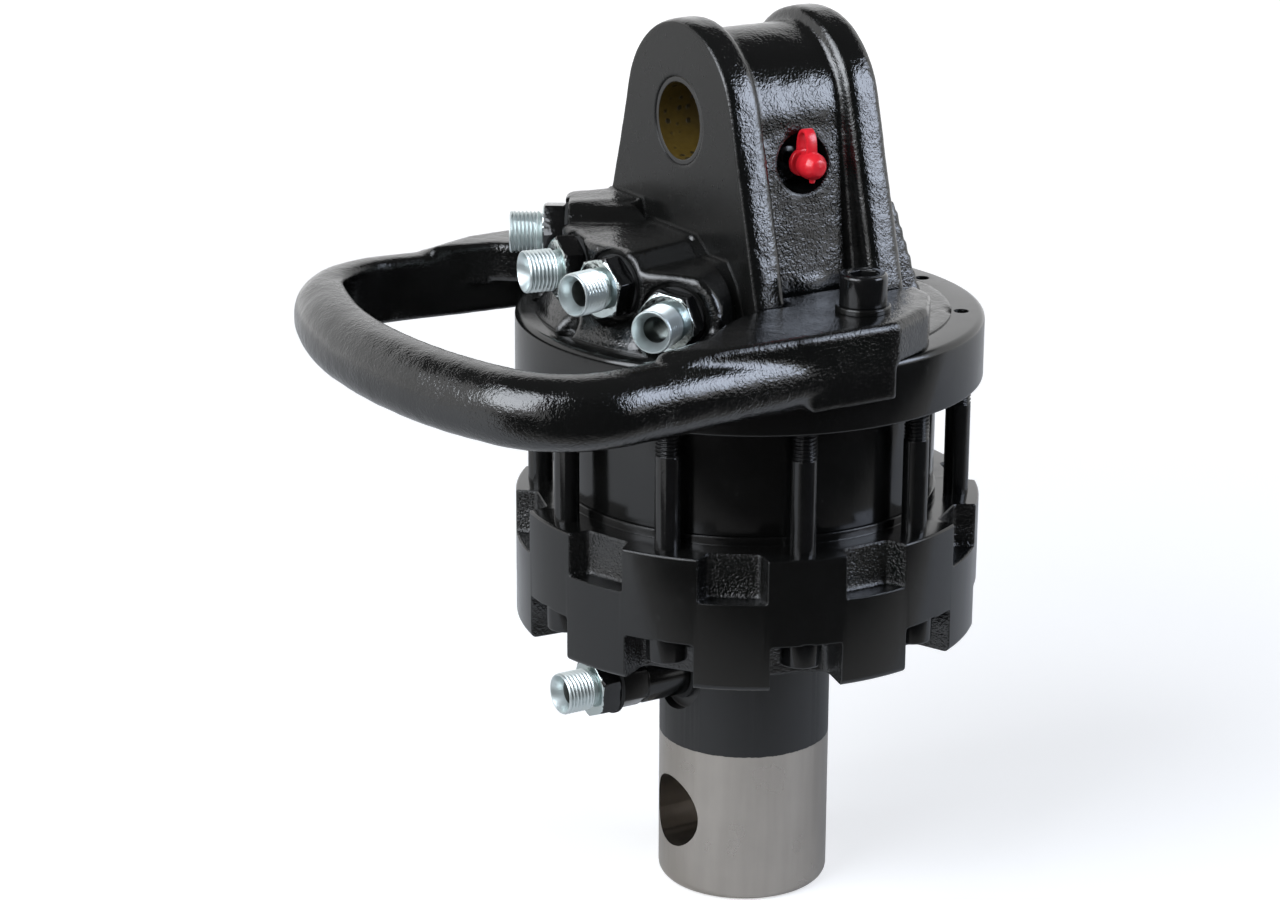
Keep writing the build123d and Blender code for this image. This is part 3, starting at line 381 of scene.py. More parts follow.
@dataclass(frozen=True)
class ShaftSteel(Finish):
    """Turned shaft: bare steel at its end and satin black paint above an uneven edge."""

    steel: tuple[Colour, Colour] = ((0.37, 0.340, 0.305), (0.45, 0.415, 0.375))
    black: tuple[Colour, Colour] = ((0.0060, 0.0060, 0.0060), (0.0090, 0.0090, 0.0088))
    steel_gloss: Point = (0.26, 0.36)
    black_gloss: float = 0.42
    paint_edge_mm: float = -255.5
    edge_wander_mm: float = 0.9
    fade_mm: float = 0.05
    turned_mm: float = 1000 / 90
    streak_mm: float = 1000 / 150

    def paint(self, work: Paintwork) -> None:
        """Wires the paint, the bare steel and the edge between them.

        Args:
            work: the tree to wire.
        """
        height = work.node("ShaderNodeSeparateXYZ", {0: work.where}).outputs["Z"]
        wander = work.math("MULTIPLY_ADD", work.grain(3.0, 4.0, 0.5), self.edge_wander_mm * MM, height)
        edge, fade = (self.paint_edge_mm + self.edge_wander_mm / 2) * MM, self.fade_mm * MM
        painted = work.spread(wander, edge - fade, edge + fade, 0.0, 1.0)
        smudge = work.grain(16.0, 3.0)
        streak = work.grain(self.streak_mm, 3.0, stretch=0.10)
        dull = work.math("MULTIPLY_ADD", streak, 0.6, work.math("MULTIPLY", smudge, 0.4))
        bare = work.tint(work.vary(dull, (0.0, 1.0)), *self.steel)
        inputs = {0: painted, 2: work.vary(smudge, self.steel_gloss), 3: self.black_gloss}
        rough = work.node("ShaderNodeMix", inputs, data_type="FLOAT").outputs[0]
        work.wear(Base_Color=work.tint(painted, bare, work.tint(smudge, *self.black)))
        work.wear(Roughness=rough, Metallic=work.math("SUBTRACT", 1.0, painted))
        work.relief(work.grain(self.turned_mm, 4.0, stretch=18.0), 0.012, 0.5)
        work.relief(painted, 0.10, 0.6)
        work.relief(work.math("MULTIPLY", work.grain(0.9), painted), 0.03, 0.5)


@dataclass(frozen=True)
class BearingLining(Finish):
    """Yellow-brown composite lining with rows of dark grease dimples."""

    dark: Colour = (0.050, 0.031, 0.004)
    light: Colour = (0.110, 0.070, 0.010)
    grease: Colour = (0.02, 0.015, 0.005)
    gloss: Point = (0.35, 0.6)
    dimple_mm: float = 5.0

    def paint(self, work: Paintwork) -> None:
        """Wires the lining.

        Args:
            work: the tree to wire.
        """
        inputs = {"Vector": work.where, "Scale": 1 / (self.dimple_mm * MM), "Randomness": 0.35}
        cells = work.node("ShaderNodeTexVoronoi", inputs).outputs["Distance"]
        dimple = work.spread(cells, 0.16, 0.26, 1.0, 0.0)
        base = work.tint(work.grain(2.0, 4.0), self.dark, self.light)
        work.wear(Base_Color=work.tint(dimple, base, self.grease))
        work.wear(Roughness=work.vary(work.grain(1.0), self.gloss))
        work.relief(dimple, -0.25, 0.8)


@dataclass(frozen=True)
class Plain(Finish):
    """One even material with a fine grain, for moulded, machined and rubber pieces, and for the painted shade inside
    a bore.
    """

    dark: Colour
    light: Colour
    metallic: float
    gloss: Point
    grain_mm: float
    grain_depth_mm: float

    def paint(self, work: Paintwork) -> None:
        """Wires the material.

        Args:
            work: the tree to wire.
        """
        cloud = work.grain(6.0 * self.grain_mm, 3.0)
        work.wear(Base_Color=work.tint(cloud, self.dark, self.light), Metallic=self.metallic)
        work.wear(Roughness=work.vary(cloud, self.gloss))
        work.relief(work.grain(self.grain_mm), self.grain_depth_mm, 0.5)


CASTING = CastingPaint("casting_paint")
POCKET = CastingPaint("pocket_paint", peel_mm=1.1, peel_depth_mm=0.45, pit_depth_mm=0.10)
MACHINED = MachinedPaint("machined_paint", shine=0.28)
RING_PAINT = MachinedPaint("ring_paint", (0.0038, 0.0038, 0.0035), (0.12, 0.20), 0.012, edge_mm=0.7)
SCREW_BLACK = MachinedPaint("screw_black", (0.0045, 0.0045, 0.0045), (0.12, 0.20), edge_mm=0.5)
ZINC = ZincPlate("zinc_plate")
HEX_PAINT = HexPaint("hex_paint")
SHAFT_STEEL = ShaftSteel("shaft_steel")
LINING = BearingLining("bearing_lining")
RED = Plain("red_plastic", (0.60, 0.003, 0.006), (0.70, 0.006, 0.010), 0.0, (0.22, 0.32), 0.8, 0.015)
# Painted shade: the adapter's bore is dark grey metal instead of zinc, standing in for the shade deep inside it.
BORE_SHADE = Plain("bore_painted_shade", (0.10, 0.105, 0.10), (0.16, 0.165, 0.16), 1.0, (0.28, 0.40), 0.6, 0.02)
RUBBER = Plain("seal_rubber", (0.010, 0.010, 0.010), (0.018, 0.018, 0.018), 0.0, (0.5, 0.65), 0.6, 0.03)
STEEL = Plain("plain_steel", (0.42, 0.41, 0.39), (0.54, 0.53, 0.51), 1.0, (0.25, 0.36), 0.8, 0.01)
BRASS = Plain("cage_brass", (0.50, 0.35, 0.12), (0.62, 0.45, 0.17), 1.0, (0.28, 0.4), 0.8, 0.01)


# Solids, in millimetres in the row's frame


@dataclass(frozen=True)
class Thread:
    """A helical thread cut into part of a lathe profile."""

    crest: float
    low: float
    high: float
    pitch: float
    depth: float
    points_a_turn: int = 10

    def on(self, radius: float) -> bool:
        """Returns whether the thread runs on the part of the profile that has this radius."""
        return abs(radius - self.crest) <= 0.01

    def cut(self, radius: float, angle: float, along: float) -> float:
        """Depth of the thread at one place.

        Args:
            radius: the profile's radius there.
            angle: place round the axis, in radians.
            along: place along the axis, in millimetres.

        Returns:
            How far the surface lies under the thread's crest.
        """
        if not self.on(radius):
            return 0.0
        inside = min(along - self.low, self.high - along) / (0.6 * self.pitch)
        turn = (along / self.pitch - angle / FULL_TURN) % 1.0
        return self.depth * abs(2 * turn - 1) * min(max(inside, 0.0), 1.0)

    def divide(self, points: Sequence[Point]) -> list[Point]:
        """Adds the points between a profile's corners that the thread needs.

        Args:
            points: the profile as radius and height.

        Returns:
            The profile with enough points to each turn of the thread.
        """
        dense: list[Point] = []
        for (radius, height), (next_radius, next_height) in zip(points, points[1:]):
            dense.append((radius, height))
            low, high = max(height, self.low), min(next_height, self.high)
            if self.on(radius) and self.on(next_radius) and high > low:
                steps = int((high - low) / self.pitch * self.points_a_turn)
                dense += [(radius, low + (high - low) * step / steps) for step in range(1, steps)]
        dense.append(points[-1])
        return dense


def rounded(outline: Sequence[Corner], closed: bool = True, steps: int = 5) -> list[Point]:
    """Replaces the corners of an outline that have a radius by arcs.

    Args:
        outline: its corners in order.
        closed: whether the last corner joins the first.
        steps: how many edges an arc has.

    Returns:
        The outline's points.
    """
    points: list[Point] = []
    count = len(outline)
    for index, (across, along, *radius) in enumerate(outline):
        here = Vector((across, along))
        if not radius or (not closed and index in (0, count - 1)):
            points.append((here.x, here.y))
            continue
        back = (Vector(outline[index - 1][:2]) - here).normalized()
        ahead = (Vector(outline[(index + 1) % count][:2]) - here).normalized()
        half = back.angle(ahead) / 2
        centre = here + (back + ahead).normalized() * radius[0] / math.sin(half)
        start = here + back * radius[0] / math.tan(half) - centre
        stop = here + ahead * radius[0] / math.tan(half) - centre
        sweep = start.angle_signed(stop)
        points += [tuple(centre + Matrix.Rotation(-sweep * step / steps, 2) @ start) for step in range(steps + 1)]
    return points


def box(left: float, right: float, low: float, high: float) -> list[Corner]:
    """Returns the corners of a rectangle, anticlockwise from its lower left one."""
    return [(left, low), (right, low), (right, high), (left, high)]


def port_frame(azimuth: float, height: float, reach: float) -> Matrix:
    """Frame on a port's axis: its z points away from the shaft, its y points up.

    Args:
        azimuth: degrees from -Y towards +X.
        height: height of the port's axis.
        reach: distance of the frame's origin from the shaft's axis.

    Returns:
        The frame's matrix, in millimetres.
    """
    turn = math.radians(azimuth)
    away = Vector((math.sin(turn), -math.cos(turn), 0.0))
    across = Vector((math.cos(turn), math.sin(turn), 0.0))
    axes = Matrix((across, Vector((0.0, 0.0, 1.0)), away)).transposed()
    return Matrix.Translation(away * reach + Vector((0.0, 0.0, height))) @ axes.to_4x4()


def port_frames() -> list[Matrix]:
    """Returns the frames at the seats of the head's four ports."""
    return [port_frame(azimuth, height, PORT_SEAT) for azimuth, height in zip(PORT_AZIMUTHS, PORT_HEIGHTS)]


def spun(degrees: float, axis: str = "Z") -> Matrix:
    """Returns a turn about one axis."""
    return Matrix.Rotation(math.radians(degrees), 4, axis)


def raised(height: float) -> Matrix:
    """Returns a move along z."""
    return Matrix.Translation((0, 0, height))


class Solid:
    """A closed mesh that is being worked on, in millimetres, with its finishes as its materials."""

    def __init__(self, mesh: bpy.types.Mesh) -> None:
        """Takes a closed mesh over."""
        self.mesh = mesh

    @classmethod
    def from_bmesh(cls, shape: bmesh.types.BMesh, finish: Finish, place: Matrix) -> "Solid":
        """Turns a bmesh into a solid with faces outwards.

        Args:
            shape: the closed bmesh, freed here.
            finish: finish of its faces.
            place: where its own frame stands in the row's.

        Returns:
            The solid.
        """
        bmesh.ops.recalc_face_normals(shape, faces=shape.faces)
        mesh = bpy.data.meshes.new(finish.name)
        shape.to_mesh(mesh)
        shape.free()
        mesh.transform(place)
        mesh.materials.append(finish.material())
        return cls(mesh)

    @classmethod
    def lathe(
        cls,
        profile: Sequence[Corner],
        finish: Finish,
        segments: int = 128,
        place: Matrix = HOME,
        thread: Thread | None = None,
        ring: bool = False,
    ) -> "Solid":
        """Turns a profile round its frame's z axis.

        Args:
            profile: corners as radius and height, from one end to the other.
            finish: finish of its faces.
            segments: how many sides the circle has.
            place: where its frame stands.
            thread: a thread cut into it, or none.
            ring: whether the profile closes on itself instead of ending on the axis.

        Returns:
            The solid.
        """
        points = rounded(profile, closed=ring)
        if thread:
            points = thread.divide(points)
        shape = bmesh.new()
        loops = []
        for radius, height in points:
            if not ring and radius < 1e-6:
                loops.append([shape.verts.new((0.0, 0.0, height))])
                continue
            loop = []
            for angle in (FULL_TURN * side / segments for side in range(segments)):
                reach = radius - (thread.cut(radius, angle, height) if thread else 0.0)
                loop.append(shape.verts.new((reach * math.cos(angle), reach * math.sin(angle), height)))
            loops.append(loop)
        for low, high in zip(loops, loops[1:] + loops[:1] if ring else loops[1:]):
            for side in range(segments):
                ahead = (side + 1) % segments
                lower = low if len(low) == 1 else (low[side], low[ahead])
                upper = high if len(high) == 1 else (high[ahead], high[side])
                shape.faces.new((*lower, *upper))
        return cls.from_bmesh(shape, finish, place)

    @classmethod
    def cylinder(
        cls, radius: float, low: float, high: float, finish: Finish, segments: int = 64, place: Matrix = HOME
    ) -> "Solid":
        """Makes a cylinder round its frame's z axis.

        Args:
            radius: its radius.
            low: height of its lower end.
            high: height of its upper end.
            finish: finish of its faces.
            segments: how many sides it has.
            place: where its frame stands.

        Returns:
            The solid.
        """
        return cls.lathe(box(0, radius, low, high), finish, segments, place)

    @classmethod
    def prism(
        cls, outline: Sequence[Corner], low: float, high: float, finish: Finish, place: Matrix = HOME
    ) -> "Solid":
        """Raises an outline along its frame's z axis.

        Args:
            outline: corners in the frame's xy plane.
            low: height of its lower face.
            high: height of its upper face.
            finish: finish of its faces.
            place: where its frame stands.

        Returns:
            The solid.
        """
        points = rounded(outline)
        shape = bmesh.new()
        bottom, top = ([shape.verts.new((*point, height)) for point in points] for height in (low, high))
        shape.faces.new(bottom)
        shape.faces.new(top)
        for index, corner in enumerate(bottom):
            ahead = (index + 1) % len(bottom)
            shape.faces.new((corner, bottom[ahead], top[ahead], top[index]))
        return cls.from_bmesh(shape, finish, place)

    @classmethod
    def from_cad(cls, node: str, finish: Finish) -> "Solid":
        """Copies a CAD node into millimetres and joins its loose triangles.

        Args:
            node: the node's name.
            finish: finish of its faces.

        Returns:
            The copy.
        """
        shape = bmesh.new()
        shape.from_mesh(frame["nodes"][node].data)
        bmesh.ops.scale(shape, vec=Vector((1 / MM,) * 3), verts=shape.verts)
        bmesh.ops.remove_doubles(shape, verts=shape.verts, dist=0.002)
        return cls.from_bmesh(shape, finish, HOME)

    def copy(self, place: Matrix = HOME) -> "Solid":
        """Returns a copy of this solid, moved by a matrix."""
        mesh = self.mesh.copy()
        mesh.transform(place)
        return Solid(mesh)

    def modify(self, kind: str, sockets: dict[str, object] | None = None, **settings: object) -> "Solid":
        """Runs one modifier over the solid and keeps its result.

        Args:
            kind: Blender's name for the modifier's type.
            sockets: what the inputs of a Geometry Nodes tree get, by their identifiers.
            settings: what its own properties get.

        Returns:
            This solid, changed.
        """
        bench = stand("bench", self.mesh)
        spent = [bench]
        step = bench.modifiers.new(kind, kind)

        def real(value: object) -> object:
            if not isinstance(value, Solid):
                return value
            spent.append(stand("tool", value.mesh))
            return spent[-1]

        for name, value in settings.items():
            setattr(step, name, real(value))
        for socket, value in (sockets or {}).items():
            step[socket] = real(value)
        graph = bpy.context.evaluated_depsgraph_get()
        done = bench.evaluated_get(graph)
        self.mesh = bpy.data.meshes.new_from_object(done, preserve_all_data_layers=True, depsgraph=graph)
        for thing in spent:
            bpy.data.objects.remove(thing)
        return self

    def combine(self, how: Cut, *others: "Solid") -> "Solid":
        """Cuts with, joins or keeps inside other solids, whose finishes come along on their faces.

        Args:
            how: what to do.
            others: the solids to do it with, one after the other.

        Returns:
            This solid, changed.
        """
        for other in others:
            settings = {"solver": "MANIFOLD", "material_mode": "TRANSFER", "operation": how.value, "object": other}
            self.modify("BOOLEAN", **settings)
        return self

    def cast(
        self, voxel: float, smoothing: int, waves: Sequence[Point], swell: float = 0.0, calm: float = -1000.0
    ) -> "Solid":
        """Gives the solid a sand casting's soft edges and uneven skin.

        Args:
            voxel: size of the mesh that replaces its own.
            smoothing: how many times its edges are eased.
            waves: size and height of each wave of the skin.
            swell: how far the skin moves out to make up for the easing.
            calm: height below which the skin stays as it is.

        Returns:
            This solid, changed.
        """
        finish = self.mesh.materials[0]
        self.modify("REMESH", mode="VOXEL", voxel_size=voxel).modify("SMOOTH", factor=0.5, iterations=smoothing)
        if not self.mesh.materials:
            self.mesh.materials.append(finish)
        moved: list[float] = []
        for vertex in self.mesh.vertices:
            place = vertex.co
            shift = swell + sum(height * noise.noise(place / size) for size, height in waves)
            moved.extend(place + vertex.normal * shift * min(max(place.z - calm, 0.0) / 3.0, 1.0))
        self.mesh.vertices.foreach_set("co", moved)
        self.mesh.update()
        return self

    def bevel(self, width: float, segments: int = 2, angle: float = 40.0) -> "Solid":
        """Breaks the solid's sharp edges.

        Args:
            width: width of the broken edge.
            segments: how many faces it has.
            angle: edges sharper than this many degrees are broken.

        Returns:
            This solid, changed.
        """
        return self.modify("BEVEL", width=width, segments=segments, angle_limit=math.radians(angle))

    def mark(self, name: str, value: Callable[[Vector], float]) -> "Solid":
        """Stores a value on each vertex for a finish to read.

        Args:
            name: the attribute's name.
            value: the value at a place.

        Returns:
            This solid, changed.
        """
        layer = self.mesh.attributes.new(name, "FLOAT", "POINT")
        layer.data.foreach_set("value", [value(vertex.co) for vertex in self.mesh.vertices])
        return self

    def join(self, *others: "Solid") -> "Solid":
        """Adds other closed solids to this one's mesh without merging their faces.

        Args:
            others: the solids to add.

        Returns:
            This solid, changed.
        """
        for other in others:
            wiring, known = geometry_tree("join", Other="Object")
            given = wiring.node("NodeGroupInput").outputs
            added = wiring.node("GeometryNodeObjectInfo", {"Object": given["Other"]}).outputs["Geometry"]
            merge = wiring.node("GeometryNodeJoinGeometry", {0: given["Geometry"]})
            wiring.feed(merge.inputs[0], added)
            wiring.node("NodeGroupOutput", {0: merge.outputs[0]})
            self.modify("NODES", {known["Other"]: other}, node_group=wiring.tree)
        return self

    def piece(self, name: str, body: Body, slot: Slot, *nodes: str) -> None:
        """Finishes the solid as one piece of the part, at the origin and in metres.

        Args:
            name: the piece's name.
            body: the body it rides on.
            slot: the record's material slot; not used.
            nodes: CAD nodes that it replaces.
        """
        self.mesh.transform(Matrix.Scale(MM, 4))
        self.mesh.name = name
        self.mesh.polygons.foreach_set("use_smooth", [True] * len(self.mesh.polygons))
        self.mesh.set_sharp_from_angle(angle=SMOOTH_ANGLE)
        done = stand(name, self.mesh)
        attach(done, body.value)
        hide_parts(*nodes)
        log.info("%s: %d faces", name, len(self.mesh.polygons))


def geometry_tree(name: str, **inputs: str) -> tuple[Wiring, dict[str, str]]:
    """Starts a Geometry Nodes tree that takes a geometry and gives one back.

    Args:
        name: the tree's name.
        inputs: each further input's name and type.

    Returns:
        The tree's wiring, and the identifier of each input.
    """
    tree = bpy.data.node_groups.new(name, "GeometryNodeTree")
    new = tree.interface.new_socket
    kinds = {"Geometry": "Geometry", **inputs}
    known = {
        socket: new(socket, in_out="INPUT", socket_type=f"NodeSocket{kind}").identifier
        for socket, kind in kinds.items()
    }
    new("Geometry", in_out="OUTPUT", socket_type="NodeSocketGeometry")
    return Wiring(tree), known


class RingOfCopies:
    """Geometry Nodes tree that sets copies of a solid round the shaft's axis."""

    def __init__(self, finish: Finish) -> None:
        """Builds the tree.

        Args:
            finish: finish of the copies.
        """
        name = f"ring_{finish.name}"
        self.wiring, self.known = geometry_tree(name, Count="Int", Radius="Float", First="Float", Spin="Float")
        node, term = self.wiring.node, self.wiring.math
        given = node("NodeGroupInput").outputs
        index = node("GeometryNodeInputIndex").outputs[0]
        angle = term("MULTIPLY_ADD", index, term("DIVIDE", FULL_TURN, given["Count"]), given["First"])
        across = term("MULTIPLY", term("COSINE", angle), given["Radius"])
        along = term("MULTIPLY", term("SINE", angle), given["Radius"])
        place = node("ShaderNodeCombineXYZ", {"X": across, "Y": along}).outputs[0]
        points = node("GeometryNodePoints", {"Count": given["Count"], "Position": place}).outputs[0]
        draw = {2: 0.0, 3: given["Spin"], "Seed": 7}
        spin = node("FunctionNodeRandomValue", draw, data_type="FLOAT").outputs[1]
        turn = node("ShaderNodeCombineXYZ", {"Z": term("ADD", angle, spin)}).outputs[0]
        inputs = {"Points": points, "Instance": given["Geometry"], "Rotation": turn}
        copies = node("GeometryNodeInstanceOnPoints", inputs).outputs[0]
        real = node("GeometryNodeRealizeInstances", {0: copies}).outputs[0]
        done = node("GeometryNodeSetMaterial", {"Geometry": real, "Material": finish.material()}).outputs[0]
        node("NodeGroupOutput", {0: done})

    def of(self, solid: Solid, count: int, radius: float = 0.0, first: float = 0.0, spin: float = 0.0) -> Solid:
        """Sets the copies.

        Args:
            solid: what is copied, drawn round its own z axis.
            count: how many copies.
            radius: radius of the circle, 0 where the solid is drawn at its place.
            first: the first copy's angle from +X, in degrees.
            spin: most that a copy is turned about its own axis, in degrees.

        Returns:
            One solid with all the copies.
        """
        values = {"Count": count, "Radius": radius, "First": math.radians(first), "Spin": math.radians(spin)}
        sockets = {self.known[name]: value for name, value in values.items()}
        return solid.modify("NODES", sockets, node_group=self.wiring.tree)


def hexagon_outline(across_flats: float, *radius: float) -> list[Corner]:
    """Returns a hexagon's corners, rounded where a radius is given."""
    corner = across_flats / math.sqrt(3)
    turns = [math.radians(60 * side) for side in range(6)]
    return [(corner * math.cos(turn), corner * math.sin(turn), *radius) for turn in turns]


def hexagon(across_flats: float, low: float, high: float, finish: Finish) -> Solid:
    """Hexagon along z with its corners turned off at 30 degrees at both ends.

    Args:
        across_flats: width across its flats.
        low: height of its lower end.
        high: height of its upper end.
        finish: finish of its faces.

    Returns:
        The hexagon.
    """
    corner = across_flats / math.sqrt(3)
    flat = across_flats / 2 - 0.2
    drop = (corner - flat) * math.tan(math.radians(30))
    turned = [(0, low), (flat, low), (corner, low + drop), (corner, high - drop), (flat, high), (0, high)]
    bar = Solid.prism(hexagon_outline(across_flats, 0.35), low - 1, high + 1, finish)
    return bar.combine(Cut.KEEP, Solid.lathe(turned, finish, 96))


def socket_cutter(across_flats: float, depth: float, finish: Finish) -> Solid:
    """Hexagon socket that is cut upwards from z = 0, with a turned mouth.

    Args:
        across_flats: the key's size.
        depth: how deep it is.
        finish: finish of its faces.

    Returns:
        The cutter.
    """
    corner = across_flats / math.sqrt(3)
    mouth = [(0, -1), (corner + 1.0, -1), (corner - 0.1, 0.4), (0, 0.4)]
    key = Solid.prism(hexagon_outline(across_flats), -1, depth, finish)
    return key.combine(Cut.JOIN, Solid.lathe(mouth, finish, 48))


# Pieces


@dataclass
class Head:
    """Cast head: flange, two ears, barrel, port block and buttress, with its machined places."""

    voxel: float = 1.3
    smoothing: int = 8
    waves: tuple[Point, ...] = ((34.0, 0.30), (13.0, 0.16), (5.0, 0.10))
    swell: float = 0.5
    calm: float = -77.3
    ear_face: float = 33.5
    ear_radius: float = 38.5
    ear_foot: Point = (56.5, -61.5)
    ear_root: float = -80.0
    bore: float = 17.0
    cast_rim: float = 79.0
    foot_radius: float = 84.4
    past: float = 100.0
    block_front: tuple[Point, ...] = (
        (-70, 45), (70, 45), (70, -68), (48, -68), (46.6, -63), (43, -55), (36, -47.6), (23, -47.6),
        (19.5, -45.2), (14, -42.0), (-23.5, -42.0), (-25.5, -35.6), (-70, -35.6),
    )

    def build(self) -> None:
        """Builds the head."""
        shape = self.rough()
        rim = Solid.lathe(box(self.cast_rim, self.past, -110, -75), RING_PAINT, 128, ring=True)
        foot = Solid.prism(box(-58, 58, -84.6, -29), -112, -70, RING_PAINT)
        foot.combine(Cut.KEEP, Solid.cylinder(self.foot_radius, -115, -60, RING_PAINT, 128))
        under = Solid.cylinder(self.past, -112, -100, RING_PAINT)
        shape.combine(Cut.REMOVE, rim.combine(Cut.REMOVE, foot), under)
        shape.combine(Cut.JOIN, self.flange()).combine(Cut.REMOVE, *self.cutters())
        shape.piece("head", Body.HOUSING, Slot.CASTING, "head_casting")

    def ear_outline(self, inset: float) -> list[Corner]:
        """Outline of an ear in the plane of its face.

        Args:
            inset: how far inside the ear's rim it runs.

        Returns:
            Its corners, anticlockwise from the foot on the +X side.
        """
        foot_x, foot_z = self.ear_foot
        flare = math.atan2(foot_z, foot_x) + math.acos(self.ear_radius / math.hypot(foot_x, foot_z))
        reach, side = self.ear_radius - inset, foot_x - inset
        arc = [flare + (math.pi - 2 * flare) * step / 40 for step in range(41)]
        top = [(reach * math.cos(angle), reach * math.sin(angle)) for angle in arc]
        return [(side, self.ear_root), (side, foot_z), *top, (-side, foot_z), (-side, self.ear_root)]

    def rough(self) -> Solid:
        """Returns the casting before machining, with its bores filled and its ears a little proud."""
        ear, grease_wall = self.ear_outline(1.2), [(18, -27), (37.82, -27), (33, 0), (18, 0)]
        fillers = [
            Solid.cylinder(32, -104, -35, CASTING),
            Solid.cylinder(20, -33, 33, CASTING, 64, FRONTWARDS),
            *[Solid.cylinder(11.8, -32, 1.4, CASTING, 48, place) for place in port_frames()],
            Solid.prism(grease_wall, GREASE_HEIGHT, -GREASE_HEIGHT, CASTING, FRONTWARDS),
            *[Solid.prism(ear, low, low + 4.4, CASTING, FRONTWARDS) for low in (30.0, -34.4)],
        ]
        shape = Solid.from_cad("head_casting", CASTING).combine(Cut.JOIN, *fillers)
        return shape.cast(self.voxel, self.smoothing, self.waves, self.swell, self.calm)

    def flange(self) -> Solid:
        """Returns the flange, turned all over."""
        land, rim, top = STATOR_TOP + 2, HOUSING_RADIUS, -77.7
        under = [(0, STATOR_TOP), (LAND_RADIUS, STATOR_TOP, 0.5), (LAND_RADIUS, land)]
        edge = [(rim, land, 0.8), (rim, top, 2.6), (79.3, top), (78.5, -78.5), (0, -78.5)]
        return Solid.lathe(under + edge, RING_PAINT, 192)

    def cutters(self) -> list[Solid]:
        """Returns what the machine shop takes out of the casting."""
        far, face, bore, mouth = self.ear_face + 6, self.ear_face, self.bore, self.bore + 6.5
        pin = [(0, -far), (mouth, -far), (bore, 0.5 - face), (bore, face - 0.5), (mouth, far), (0, far)]
        floor = GREASE_FLOOR
        pocket = [(0, floor), (11.0, floor, 1.0), (11.0, 32), (11.8, 36), (11.8, 48), (0, 48)]
        journal = [(0, -106), (31.2, -106), (31.2, -83), (27.75, -83), (27.75, -36), (0, -36)]
        spotface = [(0, 0), (14, 0, 0.4), (14, 13), (0, 13)]
        pilot = Solid.cylinder(3, -90, -60, MACHINED, 24)
        return [
            Solid.prism(box(-70, 70, -34.2, 45), -far, -face, MACHINED, FRONTWARDS),
            Solid.prism(self.block_front, face, far, MACHINED, FRONTWARDS),
            Solid.lathe(pin, MACHINED, 96, FRONTWARDS),
            Solid.lathe(pocket, POCKET, 48, SIDEWARDS @ Matrix.Translation((0, GREASE_HEIGHT, 0))),
            Solid.lathe(journal, MACHINED, 96),
            *[Solid.lathe(spotface, MACHINED, 64, place) for place in port_frames()],
            *[Solid.cylinder(STUD_HOLE, -13, 1, MACHINED, 32, place) for place in port_frames()],
            RingOfCopies(MACHINED).of(pilot, SCREW_COUNT, SCREW_CIRCLE, FIRST_SCREW),
        ]


@dataclass
class LinkBushes:
    """Composite bushes of the upper pin bore, one in each ear."""

    outer: float = 17.0
    inner: float = 15.0
    low: float = 7.1
    high: float = 33.1

    def build(self) -> None:
        """Builds both bushes, their end faces black."""
        past = self.high + 0.5
        section = [(self.inner, self.low, 0.3), (self.outer, self.low), (self.outer, past), (self.inner, past)]
        for side, turn in (("front", spun(90, "X")), ("rear", spun(-90, "X"))):
            facing = Solid.lathe(box(14, 18, self.high, past + 1), RING_PAINT, 96, turn, ring=True)
            bush = Solid.lathe(section, LINING, 96, turn, ring=True).combine(Cut.REMOVE, facing)
            bush.piece(f"bush_{side}", Body.HOUSING, Slot.BUSH, f"link_bush_{side}")


